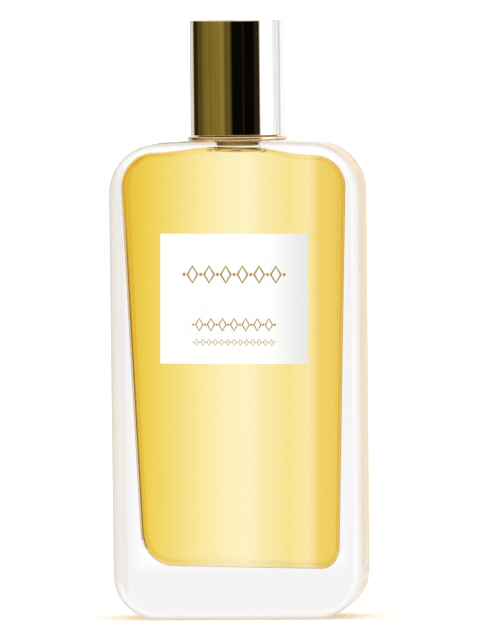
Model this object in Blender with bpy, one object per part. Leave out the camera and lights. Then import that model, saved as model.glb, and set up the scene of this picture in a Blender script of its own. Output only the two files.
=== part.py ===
"""Glass perfume bottle with a crimped spray pump and a pull-off cap.

Metres, +Z up. The origin is the middle of the base. The front, with the label, faces -Y.
"""

import math

import bmesh
import bpy
from mathutils import Matrix

MM = 0.001

# Glass body, seen from the front as a rounded box and from the side as a flat slab
BODY_WIDTH = 64.0 * MM
BODY_DEPTH = 30.0 * MM
SHOULDER_Z = 121.8 * MM
SHOULDER_DROP = 0.3 * MM
SHOULDER_FLAT = 13.4 * MM
TOP_CORNER = 12.6 * MM
BASE_CORNER = 11.4 * MM
EDGE_ROUND = 2.0 * MM
SIDE_DRAFT = 0.2 * MM

# Hollow of the body: thin walls at the shoulder, thick ones at the base
HOLLOW_FLOOR_Z = 12.9 * MM
HOLLOW_SHOULDER_Z = 118.9 * MM
HOLLOW_HALF_WIDTH_LOW = 25.4 * MM
HOLLOW_HALF_WIDTH_HIGH = 29.2 * MM
HOLLOW_DEPTH = 20.0 * MM
HOLLOW_EDGE_ROUND = 4.0 * MM
HOLLOW_CORNERS = (9.0 * MM, 5.5 * MM, 8.5 * MM, 9.5 * MM)
HOLLOW_LEAN = 0.0098
HOLLOW_SKEW = 0.022
HOLLOW_DOME = ((13.0 * MM, 0.9 * MM), (6.2 * MM, 1.5 * MM))

# Crimp neck
BORE_RADIUS = 6.2 * MM
NECK_ROOT_RADIUS = 8.4 * MM
NECK_RADIUS = 7.9 * MM
BEAD_RADIUS = 9.0 * MM
BEAD_HEIGHT = 3.6 * MM
BEAD_CHAMFER = 0.5 * MM
LIP_Z = SHOULDER_Z + 6.2 * MM

# Clearances
SEAT_GAP = 0.3 * MM
FIT_GAP = 0.15 * MM
LABEL_GAP = 0.02 * MM

# Label
LABEL_WIDTH = 37.8 * MM
LABEL_HEIGHT = 33.2 * MM
LABEL_THICK = 0.15 * MM
LABEL_Z = 81.9 * MM

# Pump, a high-set one: its chamber stands in and above the neck
GASKET_THICK = 1.0 * MM
FLANGE_RADIUS = 8.5 * MM
FLANGE_THICK = 1.0 * MM
PLUG_Z = 120.6 * MM
PLUG_RADIUS = 5.9 * MM
BARREL_RADIUS = 4.3 * MM
BARREL_TOP_Z = 135.2 * MM
CHAMBER_RADIUS = 3.1 * MM
CHAMBER_FLOOR_Z = 123.4 * MM
SOCKET_ROOF_Z = 122.35 * MM
INLET_RADIUS = 0.6 * MM
BALL_RADIUS = 1.0 * MM
TUBE_RADIUS = 1.2 * MM
TUBE_BORE = 0.6 * MM
TUBE_FOOT_Z = 14.6 * MM
STROKE = 3.0 * MM
STEM_RADIUS = 1.7 * MM
STEM_BORE = 0.8 * MM
STEM_FOOT_Z = 129.4 * MM
STEM_FOOT_RADIUS = 2.5 * MM
STEM_FOOT_THICK = 0.7 * MM
STEM_TOP_Z = 141.4 * MM
PISTON_HEIGHT = 3.2 * MM
CLOSURE_PLUG = 1.1 * MM
CLOSURE_FLANGE = 0.6 * MM
SPRING_RADIUS = 2.5 * MM
SPRING_WIRE = 0.45 * MM
SPRING_TURNS = 4.5

# Crimp ferrule and the collar that dresses it
FERRULE_WALL = 0.4 * MM
FERRULE_ROLL = 0.5 * MM
COLLAR_WALL = 0.45 * MM
COLLAR_FLANGE_RADIUS = 12.75 * MM
COLLAR_FLANGE_THICK = 1.0 * MM
COLLAR_LIP_INNER = 8.4 * MM

# Spray button
BUTTON_RADIUS = 7.2 * MM
BUTTON_FOOT_Z = 135.2 * MM
BUTTON_TOP_Z = 147.4 * MM
BUTTON_SKIRT_RADIUS = 5.6 * MM
BUTTON_ROOF_Z = 139.6 * MM
BUTTON_DISH = 0.8 * MM
BUTTON_ROUND = 1.4 * MM
SPRAY_Z = 142.9 * MM
SPRAY_ROOM_RADIUS = 1.2 * MM
SPRAY_ROOM_TOP_Z = 143.9 * MM
SPRAY_CHANNEL_RADIUS = 0.7 * MM
NOZZLE_RADIUS = 2.2 * MM
NOZZLE_THICK = 1.3 * MM
NOZZLE_DISH_RADIUS = 1.3 * MM
NOZZLE_HOLE_RADIUS = 0.3 * MM

# Cap
CAP_RADIUS = 11.95 * MM
CAP_FOOT_Z = 123.4 * MM
CAP_TOP_Z = 152.8 * MM
CAP_WALL = 0.6 * MM
CAP_EDGE = 0.35 * MM
LINER_WALL = 0.8 * MM
LINER_ROOF = 1.0 * MM
LINER_LIFT = 0.4 * MM

# Mesh fineness
CORNER_STEPS = 9
EDGE_STEPS = 4
HOLLOW_EDGE_STEPS = 5
SEGMENTS = 48
SMALL_SEGMENTS = 32
FINE_SEGMENTS = 16
ROUND_STEPS = 4
SPRING_STEPS = 16
SMOOTH_ANGLE = math.radians(35)


def clear_scene():
    for item in list(bpy.data.objects):
        bpy.data.objects.remove(item, do_unlink=True)


def finish(name, colour, roughness, metallic=0.0, transmission=0.0):
    """One plain material for a piece."""
    mat = bpy.data.materials.new(name)
    mat.use_nodes = True
    shader = mat.node_tree.nodes["Principled BSDF"]
    shader.inputs["Base Color"].default_value = (*colour, 1.0)
    shader.inputs["Roughness"].default_value = roughness
    shader.inputs["Metallic"].default_value = metallic
    shader.inputs["Transmission Weight"].default_value = transmission
    return mat


def new_object(name, bm, mat):
    """Turn a bmesh into a named, smooth-shaded object with one material."""
    bmesh.ops.recalc_face_normals(bm, faces=bm.faces)
    mesh = bpy.data.meshes.new(name)
    bm.to_mesh(mesh)
    bm.free()
    mesh.shade_smooth()
    mesh.set_sharp_from_angle(angle=SMOOTH_ANGLE)
    item = bpy.data.objects.new(name, mesh)
    bpy.context.scene.collection.objects.link(item)
    if mat:
        item.data.materials.append(mat)
    return item


def turned(name, profile, mat, segments=SEGMENTS):
    """Spin a closed profile of (radius, z) points round the Z axis."""
    bm = bmesh.new()
    verts = [bm.verts.new((r, 0.0, z)) for r, z in profile]
    on_axis = [r == 0.0 for r, _ in profile]
    edges = []
    for i, vert in enumerate(verts):
        j = (i + 1) % len(verts)
        if not (on_axis[i] and on_axis[j]):
            edges.append(bm.edges.new((vert, verts[j])))
    bmesh.ops.spin(
        bm, geom=verts + edges, axis=(0, 0, 1), cent=(0, 0, 0),
        angle=2 * math.pi, steps=segments, use_merge=True,
    )
    bmesh.ops.remove_doubles(bm, verts=bm.verts, dist=0.001 * MM)
    return new_object(name, bm, mat)


def cutter(item):
    """Mark an object as a guide that only cuts others."""
    item.hide_render = True
    item.display_type = "WIRE"
    return item


def combine(item, other, operation):
    mod = item.modifiers.new(operation.title(), "BOOLEAN")
    mod.operation = operation
    mod.solver = "EXACT"
    mod.object = other


def arc(centre, radius, start_deg, end_deg, steps):
    """Points on an arc, from one angle to another."""
    points = []
    for k in range(steps + 1):
        angle = math.radians(start_deg + (end_deg - start_deg) * k / steps)
        points.append((centre[0] + radius * math.cos(angle), centre[1] + radius * math.sin(angle)))
    return points


def rounded_box(half_width, low, high, corners, inset, top_points):
    """Front outline, counter-clockwise, moved inwards by inset.

    corners are the radii at the base left, base right, top right and top left.
    top_points are (x, rise) pairs on the right half of the top, mirrored to the left.
    """
    left, right = -half_width + inset, half_width - inset
    low, high = low + inset, high - inset
    base_left, base_right, top_right, top_left = [max(r - inset, 0.05 * MM) for r in corners]
    points = arc((left + base_left, low + base_left), base_left, 180, 270, CORNER_STEPS)
    points += arc((right - base_right, low + base_right), base_right, 270, 360, CORNER_STEPS)
    points += arc((right - top_right, high - top_right), top_right, 0, 90, CORNER_STEPS)
    points += [(x, high + rise) for x, rise in top_points]
    points += [(-x, high + rise) for x, rise in reversed(top_points)]
    points += arc((left + top_left, high - top_left), top_left, 90, 180, CORNER_STEPS)
    return points


def slab(name, outline, depth, edge_round, steps, warp, mat):
    """A slab along Y: the outline at mid-depth, drawn in round the front and back edges."""
    half = depth / 2
    rings = []
    for k in range(steps + 1):
        angle = math.radians(90 * k / steps)
        inset = edge_round * (1 - math.sin(angle))
        y = -(half - edge_round + edge_round * math.cos(angle))
        rings.append([(*warp(x, z), y) for x, z in outline(inset)])
    rings += [[(x, z, -y) for x, z, y in ring] for ring in reversed(rings)]
    bm = bmesh.new()
    rows = [[bm.verts.new((x, y, z)) for x, z, y in ring] for ring in rings]
    count = len(rows[0])
    for near, far in zip(rows, rows[1:]):
        for i in range(count):
            j = (i + 1) % count
            bm.faces.new((near[i], near[j], far[j], far[i]))
    bm.faces.new(rows[0])
    bm.faces.new(rows[-1])
    return new_object(name, bm, mat)


def draft(x, z):
    """The glass is a touch narrower at its base than at its shoulder."""
    return x * (1 - SIDE_DRAFT / (BODY_WIDTH / 2) * (1 - z / SHOULDER_Z)), z


def hollow_warp(x, z):
    """Narrow the hollow to its floor, lean it and tip its floor, as blown glass sets."""
    middle = (HOLLOW_FLOOR_Z + HOLLOW_SHOULDER_Z) / 2
    share = (z - HOLLOW_FLOOR_Z) / (HOLLOW_SHOULDER_Z - HOLLOW_FLOOR_Z)
    half_width = HOLLOW_HALF_WIDTH_LOW + (HOLLOW_HALF_WIDTH_HIGH - HOLLOW_HALF_WIDTH_LOW) * share
    wide = x * half_width / HOLLOW_HALF_WIDTH_HIGH
    near_end = abs(2 * share - 1)
    return wide - HOLLOW_LEAN * (z - middle), z - HOLLOW_SKEW * x * near_end


def hollow(name, shrink, mat):
    """The space inside the glass, or the liquid in it when it is shrunk."""

    def outline(inset):
        return rounded_box(
            HOLLOW_HALF_WIDTH_HIGH, HOLLOW_FLOOR_Z, HOLLOW_SHOULDER_Z,
            HOLLOW_CORNERS, inset + shrink, HOLLOW_DOME,
        )

    return slab(
        name, outline, HOLLOW_DEPTH - 2 * shrink, HOLLOW_EDGE_ROUND - shrink,
        HOLLOW_EDGE_STEPS, hollow_warp, mat,
    )


def make_bottle():
    glass = finish("clear_glass", (0.96, 0.97, 0.96), 0.02, transmission=1.0)
    body_low, body_high = 0.0, SHOULDER_Z - SHOULDER_DROP
    corners = (BASE_CORNER, BASE_CORNER, TOP_CORNER, TOP_CORNER)
    crown = ((SHOULDER_FLAT, SHOULDER_DROP),)

    def outline(inset):
        return rounded_box(BODY_WIDTH / 2, body_low, body_high, corners, inset, crown)

    bottle = slab("glass_bottle", outline, BODY_DEPTH, EDGE_ROUND, EDGE_STEPS, draft, glass)
    bead_foot = LIP_Z - BEAD_HEIGHT
    neck = turned("cutter_neck", [
        (0.0, SHOULDER_Z - 1.5 * MM),
        (NECK_ROOT_RADIUS, SHOULDER_Z - 1.5 * MM),
        (NECK_ROOT_RADIUS, SHOULDER_Z + 0.1 * MM),
        (NECK_RADIUS, SHOULDER_Z + 0.6 * MM),
        (NECK_RADIUS, bead_foot),
        (BEAD_RADIUS, bead_foot + BEAD_CHAMFER),
        (BEAD_RADIUS, LIP_Z - BEAD_CHAMFER),
        (BEAD_RADIUS - BEAD_CHAMFER, LIP_Z),
        (0.0, LIP_Z),
    ], None)
    bore = turned("cutter_bore", [
        (0.0, HOLLOW_SHOULDER_Z - 2 * MM),
        (BORE_RADIUS, HOLLOW_SHOULDER_Z - 2 * MM),
        (BORE_RADIUS, LIP_Z + 1 * MM),
        (0.0, LIP_Z + 1 * MM),
    ], None)
    combine(bottle, cutter(neck), "UNION")
    combine(bottle, cutter(hollow("cutter_hollow", 0.0, None)), "DIFFERENCE")
    combine(bottle, cutter(bore), "DIFFERENCE")


def make_perfume():
    liquid = finish("perfume_yellow", (0.95, 0.78, 0.30), 0.05, transmission=0.9)
    perfume = hollow("perfume", SEAT_GAP, liquid)
    clear = TUBE_RADIUS + SEAT_GAP
    tube_space = turned("cutter_tube", [
        (0.0, TUBE_FOOT_Z - SEAT_GAP),
        (clear, TUBE_FOOT_Z - SEAT_GAP),
        (clear, LIP_Z),
        (0.0, LIP_Z),
    ], None, FINE_SEGMENTS)
    combine(perfume, cutter(tube_space), "DIFFERENCE")


def make_label():
    paper = finish("label_paper", (0.93, 0.93, 0.92), 0.7)
    bm = bmesh.new()
    size = (LABEL_WIDTH, LABEL_THICK, LABEL_HEIGHT)
    front = -BODY_DEPTH / 2 - LABEL_GAP - LABEL_THICK / 2
    place = Matrix.Translation((0, front, LABEL_Z)) @ Matrix.Diagonal((*size, 1.0))
    bmesh.ops.create_cube(bm, size=1.0, matrix=place)
    new_object("label", bm, paper)


def make_gasket():
    rubber = finish("gasket_rubber", (0.12, 0.12, 0.12), 0.8)
    low = LIP_Z + FIT_GAP
    high = low + GASKET_THICK
    inner = PLUG_RADIUS + FIT_GAP
    turned("neck_gasket", [(inner, low), (FLANGE_RADIUS, low), (FLANGE_RADIUS, high), (inner, high)], rubber)
    return high


def make_pump(seat_z):
    """Housing, closure, ball, spring, piston, stem and tube. Gives the flange's top."""
    brown = finish("pump_brown", (0.30, 0.20, 0.09), 0.35)
    natural = finish("pump_natural", (0.85, 0.85, 0.83), 0.4)
    steel = finish("spring_steel", (0.70, 0.70, 0.72), 0.25, 1.0)
    clear = finish("tube_clear", (0.92, 0.93, 0.93), 0.1, transmission=0.9)
    flange_low = seat_z + FIT_GAP
    flange_high = flange_low + FLANGE_THICK
    socket = TUBE_RADIUS + FIT_GAP
    turned("pump_housing", [
        (socket, PLUG_Z),
        (PLUG_RADIUS, PLUG_Z),
        (PLUG_RADIUS, flange_low),
        (FLANGE_RADIUS, flange_low),
        (FLANGE_RADIUS, flange_high),
        (BARREL_RADIUS, flange_high),
        (BARREL_RADIUS, BARREL_TOP_Z),
        (CHAMBER_RADIUS, BARREL_TOP_Z),
        (CHAMBER_RADIUS, CHAMBER_FLOOR_Z),
        (INLET_RADIUS, CHAMBER_FLOOR_Z),
        (INLET_RADIUS, SOCKET_ROOF_Z),
        (socket, SOCKET_ROOF_Z),
    ], brown, SMALL_SEGMENTS)

    closure_hole = STEM_RADIUS + SEAT_GAP
    closure_seat = BARREL_TOP_Z + FIT_GAP
    closure_foot = BARREL_TOP_Z - CLOSURE_PLUG
    turned("pump_closure", [
        (closure_hole, closure_foot),
        (CHAMBER_RADIUS - FIT_GAP, closure_foot),
        (CHAMBER_RADIUS - FIT_GAP, closure_seat),
        (BARREL_RADIUS, closure_seat),
        (BARREL_RADIUS, closure_seat + CLOSURE_FLANGE),
        (closure_hole, closure_seat + CLOSURE_FLANGE),
    ], natural, SMALL_SEGMENTS)

    lift = math.sqrt(BALL_RADIUS**2 - INLET_RADIUS**2) + FIT_GAP
    bm = bmesh.new()
    bmesh.ops.create_uvsphere(
        bm, u_segments=FINE_SEGMENTS, v_segments=FINE_SEGMENTS // 2, radius=BALL_RADIUS,
        matrix=Matrix.Translation((0, 0, CHAMBER_FLOOR_Z + lift)),
    )
    new_object("check_ball", bm, steel)

    foot_top = STEM_FOOT_Z + STEM_FOOT_THICK
    turned("stem", [
        (STEM_BORE, STEM_FOOT_Z),
        (STEM_FOOT_RADIUS, STEM_FOOT_Z),
        (STEM_FOOT_RADIUS, foot_top),
        (STEM_RADIUS, foot_top),
        (STEM_RADIUS, STEM_TOP_Z),
        (STEM_BORE, STEM_TOP_Z),
    ], natural, SMALL_SEGMENTS)

    low = foot_top + FIT_GAP
    high = low + PISTON_HEIGHT
    inner = STEM_RADIUS + FIT_GAP
    outer = CHAMBER_RADIUS - FIT_GAP
    waist = outer - 0.35 * MM
    lip = 0.8 * MM
    turned("piston", [
        (inner, low), (outer, low), (outer, low + lip), (waist, low + lip + 0.2 * MM),
        (waist, high - lip - 0.2 * MM), (outer, high - lip), (outer, high), (inner, high),
    ], natural, SMALL_SEGMENTS)

    turned("dip_tube", [
        (TUBE_BORE, TUBE_FOOT_Z),
        (TUBE_RADIUS, TUBE_FOOT_Z),
        (TUBE_RADIUS, SOCKET_ROOF_Z - FIT_GAP),
        (TUBE_BORE, SOCKET_ROOF_Z - FIT_GAP),
    ], clear, FINE_SEGMENTS)
    make_spring(steel)
    return flange_high


def make_spring(steel):
    """Compression spring between the chamber's floor and the stem's foot."""
    wire = SPRING_WIRE / 2
    low = CHAMBER_FLOOR_Z + wire + 0.2 * MM
    high = STEM_FOOT_Z - wire - 0.2 * MM
    count = int(SPRING_TURNS * SPRING_STEPS)
    curve = bpy.data.curves.new("return_spring", "CURVE")
    curve.dimensions = "3D"
    curve.bevel_depth = wire
    curve.bevel_resolution = 1
    curve.use_fill_caps = True
    spline = curve.splines.new("POLY")
    spline.points.add(count)
    for k, point in enumerate(spline.points):
        share = k / count
        angle = 2 * math.pi * SPRING_TURNS * share
        x, y = SPRING_RADIUS * math.cos(angle), SPRING_RADIUS * math.sin(angle)
        point.co = (x, y, low + (high - low) * share, 1.0)
    curve.materials.append(steel)
    item = bpy.data.objects.new("return_spring", curve)
    bpy.context.scene.collection.objects.link(item)


def make_ferrule(flange_top):
    """Metal cup over the pump's flange, rolled in under the neck's bead."""
    gold = finish("ferrule_gold", (0.80, 0.60, 0.25), 0.2, 1.0)
    inner = BEAD_RADIUS + FIT_GAP
    outer = inner + FERRULE_WALL
    roof = flange_top + FIT_GAP
    top = roof + FERRULE_WALL
    roll_top = LIP_Z - BEAD_HEIGHT - SEAT_GAP
    roll_low = roll_top - FERRULE_ROLL
    roll_inner = NECK_RADIUS + SEAT_GAP
    hole = BARREL_RADIUS + SEAT_GAP
    turned("crimp_ferrule", [
        (roll_inner, roll_low),
        (outer, roll_low),
        (outer, top - 0.3 * MM),
        (outer - 0.3 * MM, top),
        (hole, top),
        (hole, roof),
        (inner, roof),
        (inner, roll_top),
        (roll_inner, roll_top),
    ], gold)
    return outer, top


def make_collar(ferrule_radius, ferrule_top):
    """Dress ring: a flange on the shoulder and a sleeve that the cap slides over."""
    copper = finish("collar_gold", (0.86, 0.62, 0.33), 0.15, 1.0)
    inner = ferrule_radius + FIT_GAP
    outer = inner + COLLAR_WALL
    low = SHOULDER_Z + SEAT_GAP
    flange_top = low + COLLAR_FLANGE_THICK
    lip_low = ferrule_top + FIT_GAP
    top = lip_low + COLLAR_WALL
    bevel = 0.2 * MM
    turned("collar", [
        (inner, low),
        (COLLAR_FLANGE_RADIUS - bevel, low),
        (COLLAR_FLANGE_RADIUS, low + bevel),
        (COLLAR_FLANGE_RADIUS, flange_top - bevel),
        (COLLAR_FLANGE_RADIUS - bevel, flange_top),
        (outer, flange_top),
        (outer, top - bevel),
        (outer - bevel, top),
        (COLLAR_LIP_INNER, top),
        (COLLAR_LIP_INNER, lip_low),
        (inner, lip_low),
    ], copper)
    return outer


def crosswise(name, radius, start_y, end_y, z):
    """A round guide that runs along Y through the button's side."""
    bm = bmesh.new()
    place = Matrix.Translation((0, (start_y + end_y) / 2, z)) @ Matrix.Rotation(math.pi / 2, 4, "X")
    bmesh.ops.create_cone(
        bm, cap_ends=True, segments=FINE_SEGMENTS, radius1=radius, radius2=radius,
        depth=abs(end_y - start_y), matrix=place,
    )
    return cutter(new_object(name, bm, None))


def make_button():
    """Finger button with a socket for the stem and a channel to the nozzle at the front."""
    gold = finish("button_gold", (0.80, 0.60, 0.25), 0.25, 1.0)
    socket = STEM_RADIUS + FIT_GAP
    socket_roof = STEM_TOP_Z + FIT_GAP
    dish_radius = BUTTON_RADIUS - BUTTON_ROUND
    rim = arc((dish_radius, BUTTON_TOP_Z - BUTTON_ROUND), BUTTON_ROUND, 0, 90, ROUND_STEPS)
    dish = []
    for k in range(1, ROUND_STEPS + 1):
        share = 1 - k / ROUND_STEPS
        dish.append((dish_radius * share, BUTTON_TOP_Z - BUTTON_DISH * (1 - share**2)))
    button = turned("spray_button", [
        (BUTTON_SKIRT_RADIUS, BUTTON_FOOT_Z),
        (BUTTON_RADIUS, BUTTON_FOOT_Z),
        *rim,
        *dish,
        (0.0, SPRAY_ROOM_TOP_Z),
        (SPRAY_ROOM_RADIUS, SPRAY_ROOM_TOP_Z),
        (SPRAY_ROOM_RADIUS, socket_roof),
        (socket, socket_roof),
        (socket, BUTTON_ROOF_Z),
        (BUTTON_SKIRT_RADIUS, BUTTON_ROOF_Z),
    ], gold)
    face = -BUTTON_RADIUS
    pocket_depth = NOZZLE_THICK + FIT_GAP + 0.2 * MM
    outside = face - 1 * MM
    pocket = crosswise("cutter_pocket", NOZZLE_RADIUS + FIT_GAP, outside, face + pocket_depth, SPRAY_Z)
    channel = crosswise("cutter_channel", SPRAY_CHANNEL_RADIUS, outside, -SPRAY_ROOM_RADIUS / 2, SPRAY_Z)
    combine(button, pocket, "DIFFERENCE")
    combine(button, channel, "DIFFERENCE")

    black = finish("nozzle_black", (0.05, 0.05, 0.05), 0.4)
    back = face + pocket_depth - FIT_GAP
    nozzle = turned("nozzle_insert", [
        (NOZZLE_HOLE_RADIUS, 0.0),
        (NOZZLE_RADIUS, 0.0),
        (NOZZLE_RADIUS, NOZZLE_THICK),
        (NOZZLE_DISH_RADIUS, NOZZLE_THICK),
        (NOZZLE_HOLE_RADIUS, NOZZLE_THICK / 2),
    ], black, FINE_SEGMENTS)
    nozzle.data.transform(Matrix.Translation((0, back, SPRAY_Z)) @ Matrix.Rotation(math.pi / 2, 4, "X"))


def make_cap(collar_radius):
    """Polished shell and the plastic liner that grips the collar's sleeve."""
    gold = finish("cap_gold", (0.83, 0.66, 0.30), 0.05, 1.0)
    white = finish("liner_white", (0.80, 0.80, 0.78), 0.45)
    shell_inner = CAP_RADIUS - CAP_WALL
    shell_roof = CAP_TOP_Z - CAP_WALL
    turned("cap_shell", [
        (shell_inner, CAP_FOOT_Z),
        (CAP_RADIUS - CAP_EDGE / 2, CAP_FOOT_Z),
        (CAP_RADIUS, CAP_FOOT_Z + CAP_EDGE / 2),
        *arc((CAP_RADIUS - CAP_EDGE, CAP_TOP_Z - CAP_EDGE), CAP_EDGE, 0, 90, 2),
        (0.0, CAP_TOP_Z),
        (0.0, shell_roof),
        (shell_inner, shell_roof),
    ], gold)
    liner_outer = shell_inner - FIT_GAP
    liner_inner = liner_outer - LINER_WALL
    liner_top = shell_roof - FIT_GAP
    liner_foot = CAP_FOOT_Z + LINER_LIFT
    print("liner clears the collar by", round((liner_inner - collar_radius) / MM, 3), "mm")
    turned("cap_liner", [
        (liner_inner, liner_foot),
        (liner_outer, liner_foot),
        (liner_outer, liner_top),
        (0.0, liner_top),
        (0.0, liner_top - LINER_ROOF),
        (liner_inner, liner_top - LINER_ROOF),
    ], white)


def main():
    clear_scene()
    make_bottle()
    make_perfume()
    make_label()
    gasket_top = make_gasket()
    flange_top = make_pump(gasket_top)
    ferrule_radius, ferrule_top = make_ferrule(flange_top)
    collar_radius = make_collar(ferrule_radius, ferrule_top)
    make_button()
    make_cap(collar_radius)


main()
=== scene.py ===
# %% [markdown]
# # A glass perfume bottle under a polished cap
#
# The real thing is a thick block of clear glass with a hollow blown into it, filled with pale
# yellow perfume. A crimped spray pump closes the neck, a copper-gold collar dresses the crimp,
# and a mirror-bright cap slides over the collar. The measured solids come first. This lesson
# lays a finer mesh over each of them and gives each one its own finish.

# %% Open the measured solids
import math

import bmesh
import bpy
from mathutils import Matrix, Vector


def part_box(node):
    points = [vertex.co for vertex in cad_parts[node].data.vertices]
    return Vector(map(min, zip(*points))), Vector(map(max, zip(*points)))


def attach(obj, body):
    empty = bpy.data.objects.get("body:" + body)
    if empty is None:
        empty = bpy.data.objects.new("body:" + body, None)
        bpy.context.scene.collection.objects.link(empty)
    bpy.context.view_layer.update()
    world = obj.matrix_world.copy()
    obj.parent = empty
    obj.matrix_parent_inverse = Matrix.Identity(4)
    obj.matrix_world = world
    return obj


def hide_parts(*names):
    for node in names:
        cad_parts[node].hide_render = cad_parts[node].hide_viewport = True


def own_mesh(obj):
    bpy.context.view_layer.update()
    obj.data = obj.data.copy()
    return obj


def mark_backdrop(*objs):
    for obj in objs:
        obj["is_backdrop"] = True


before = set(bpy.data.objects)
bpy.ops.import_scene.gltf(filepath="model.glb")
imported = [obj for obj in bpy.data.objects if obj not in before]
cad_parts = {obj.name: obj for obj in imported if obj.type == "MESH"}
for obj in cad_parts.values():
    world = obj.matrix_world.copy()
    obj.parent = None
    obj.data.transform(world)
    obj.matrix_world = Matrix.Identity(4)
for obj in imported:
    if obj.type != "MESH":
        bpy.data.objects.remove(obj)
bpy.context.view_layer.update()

MM = 0.001


# %% [markdown]
# ## The camera
#
# The photograph was taken with a long lens from about 3 m: the sides of the block stay almost
# parallel. The right side of the glass shows as a thin strip, so the camera stands 5 degrees to
# the right, and the shoulder is seen nearly edge on, so it stands a little above mid height. The
# aim is worked out from one point: the middle of the base, and where it lies in the picture.

# %% Place the camera
PHOTO_WIDTH, PHOTO_HEIGHT = 480, 640
PIXELS_PER_METRE = 3900
BASE_PIXEL = (242.6, 616.4)
CAMERA_DISTANCE = 3.0
VIEW_AZIMUTH = math.radians(5.0)
VIEW_ELEVATION = math.radians(1.7)
VIEW_ROLL = math.radians(0.6)
SENSOR_HEIGHT = 24.0


def place_camera():
    data = bpy.data.cameras.new("studio_camera")
    data.sensor_fit = "VERTICAL"
    data.sensor_height = SENSOR_HEIGHT
    data.lens = SENSOR_HEIGHT * CAMERA_DISTANCE * PIXELS_PER_METRE / PHOTO_HEIGHT
    data.clip_start = 0.1
    data.clip_end = 100.0
    turn = Matrix.Rotation(VIEW_AZIMUTH, 3, "Z")
    turn @= Matrix.Rotation(math.pi / 2 - VIEW_ELEVATION, 3, "X")
    turn @= Matrix.Rotation(-VIEW_ROLL, 3, "Z")
    right = (PHOTO_WIDTH / 2 - BASE_PIXEL[0]) / PIXELS_PER_METRE
    up = (BASE_PIXEL[1] - PHOTO_HEIGHT / 2) / PIXELS_PER_METRE
    stand = turn @ Vector((right, up, CAMERA_DISTANCE))
    camera = bpy.data.objects.new("studio_camera", data)
    camera.matrix_world = Matrix.Translation(stand) @ turn.to_4x4()
    bpy.context.scene.collection.objects.link(camera)
    bpy.context.scene.camera = camera
    return camera


camera = place_camera()
print("lens", round(camera.data.lens, 1), "mm, height", round(camera.location.z / MM), "mm")

# %% [markdown]
# ## Sums that build nodes
#
# Node trees hold the finishes, the studio and the repeated shapes. Wiring Math nodes by hand
# hides the sum in the wiring. One small class wraps a socket instead, so that an ordinary
# expression such as 1 - mask adds its Math nodes, and one method adds any other node. Three
# helpers are used all the time: a colour ramp, a mix of two colours, and a soft step.


# %% A wire through a node tree
class Wire:
    """A value on its way through a node tree."""

    def __init__(self, tree, socket=None):
        self.tree = tree
        self.socket = socket

    def add(self, kind, settings=None, inputs=None, out=0):
        """Add a node: its settings first, then its sockets. Gives one output, or a tuple of them."""
        node = self.tree.nodes.new(kind)
        for name, value in (settings or {}).items():
            if name == "stops":
                fill_ramp(node.color_ramp, value)
            else:
                setattr(node, name, value)
        for key, value in (inputs or {}).items():
            if isinstance(value, (Wire, list)):
                for wire in value if isinstance(value, list) else [value]:
                    self.tree.links.new(wire.socket, node.inputs[key])
            else:
                node.inputs[key].default_value = value
        if isinstance(out, tuple):
            return tuple(Wire(self.tree, node.outputs[key]) for key in out)
        return Wire(self.tree, node.outputs[out])

    def math(self, operation, *others):
        return self.add("ShaderNodeMath", {"operation": operation}, dict(enumerate((self, *others))))

    def __add__(self, other):
        return self.math("ADD", other)

    def __sub__(self, other):
        return self.math("SUBTRACT", other)

    def __mul__(self, other):
        return self.math("MULTIPLY", other)

    def __truediv__(self, other):
        return self.math("DIVIDE", other)

    def __rsub__(self, other):
        return self.add("ShaderNodeMath", {"operation": "SUBTRACT"}, {0: other, 1: self})

    __radd__ = __add__
    __rmul__ = __mul__


def fill_ramp(ramp, stops):
    """Give a new colour ramp these (place, colour) stops."""
    ramp.elements.remove(ramp.elements[-1])
    for k, (place, colour) in enumerate(stops):
        stop = ramp.elements[0] if k == 0 else ramp.elements.new(place)
        stop.position = place
        stop.color = (*colour, 1.0)


def shade(value, stops):
    """The colour that a value has on a ramp of (place, colour) stops."""
    return value.add("ShaderNodeValToRGB", {"stops": stops}, {"Fac": value}, out="Color")


def mix(share, first, second):
    """A colour between two colours, each of them three numbers or a wire."""
    ends = [colour if isinstance(colour, Wire) else (*colour, 1.0) for colour in (first, second)]
    return share.add("ShaderNodeMix", {"data_type": "RGBA"}, {0: share, 6: ends[0], 7: ends[1]}, out=2)


def grows(value, start, end):
    """0 at the start, 1 at the end, smooth between. The start may lie above the end."""
    return value.add("ShaderNodeMapRange", {"interpolation_type": "SMOOTHSTEP"},
                     {"Value": value, "From Min": start, "From Max": end}, out=0)


# %% [markdown]
# ## The studio
#
# A mirror shows the room, so the cap's stripes are the studio: a white sheet behind, a black
# gap where the camera stands, a warm board to the left, a bright window of cloth to the right.
# They could be real boards, but boards would stand in the way of other views. A world that
# answers by direction does the same for every view, and it can answer by the kind of ray too.
# Mirror rays see the boards. Rays that come through the glass see how such a bottle is lit: a
# white sheet straight behind it, a dark ring round the sheet, which draws the dark lines at the
# edges of the liquid, and a warm room beyond. The ring is wider for rays that leave downwards,
# and it ends where they leave steeply or far to one side, so that views from above stay light.
# Matt surfaces see even white light.

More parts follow.
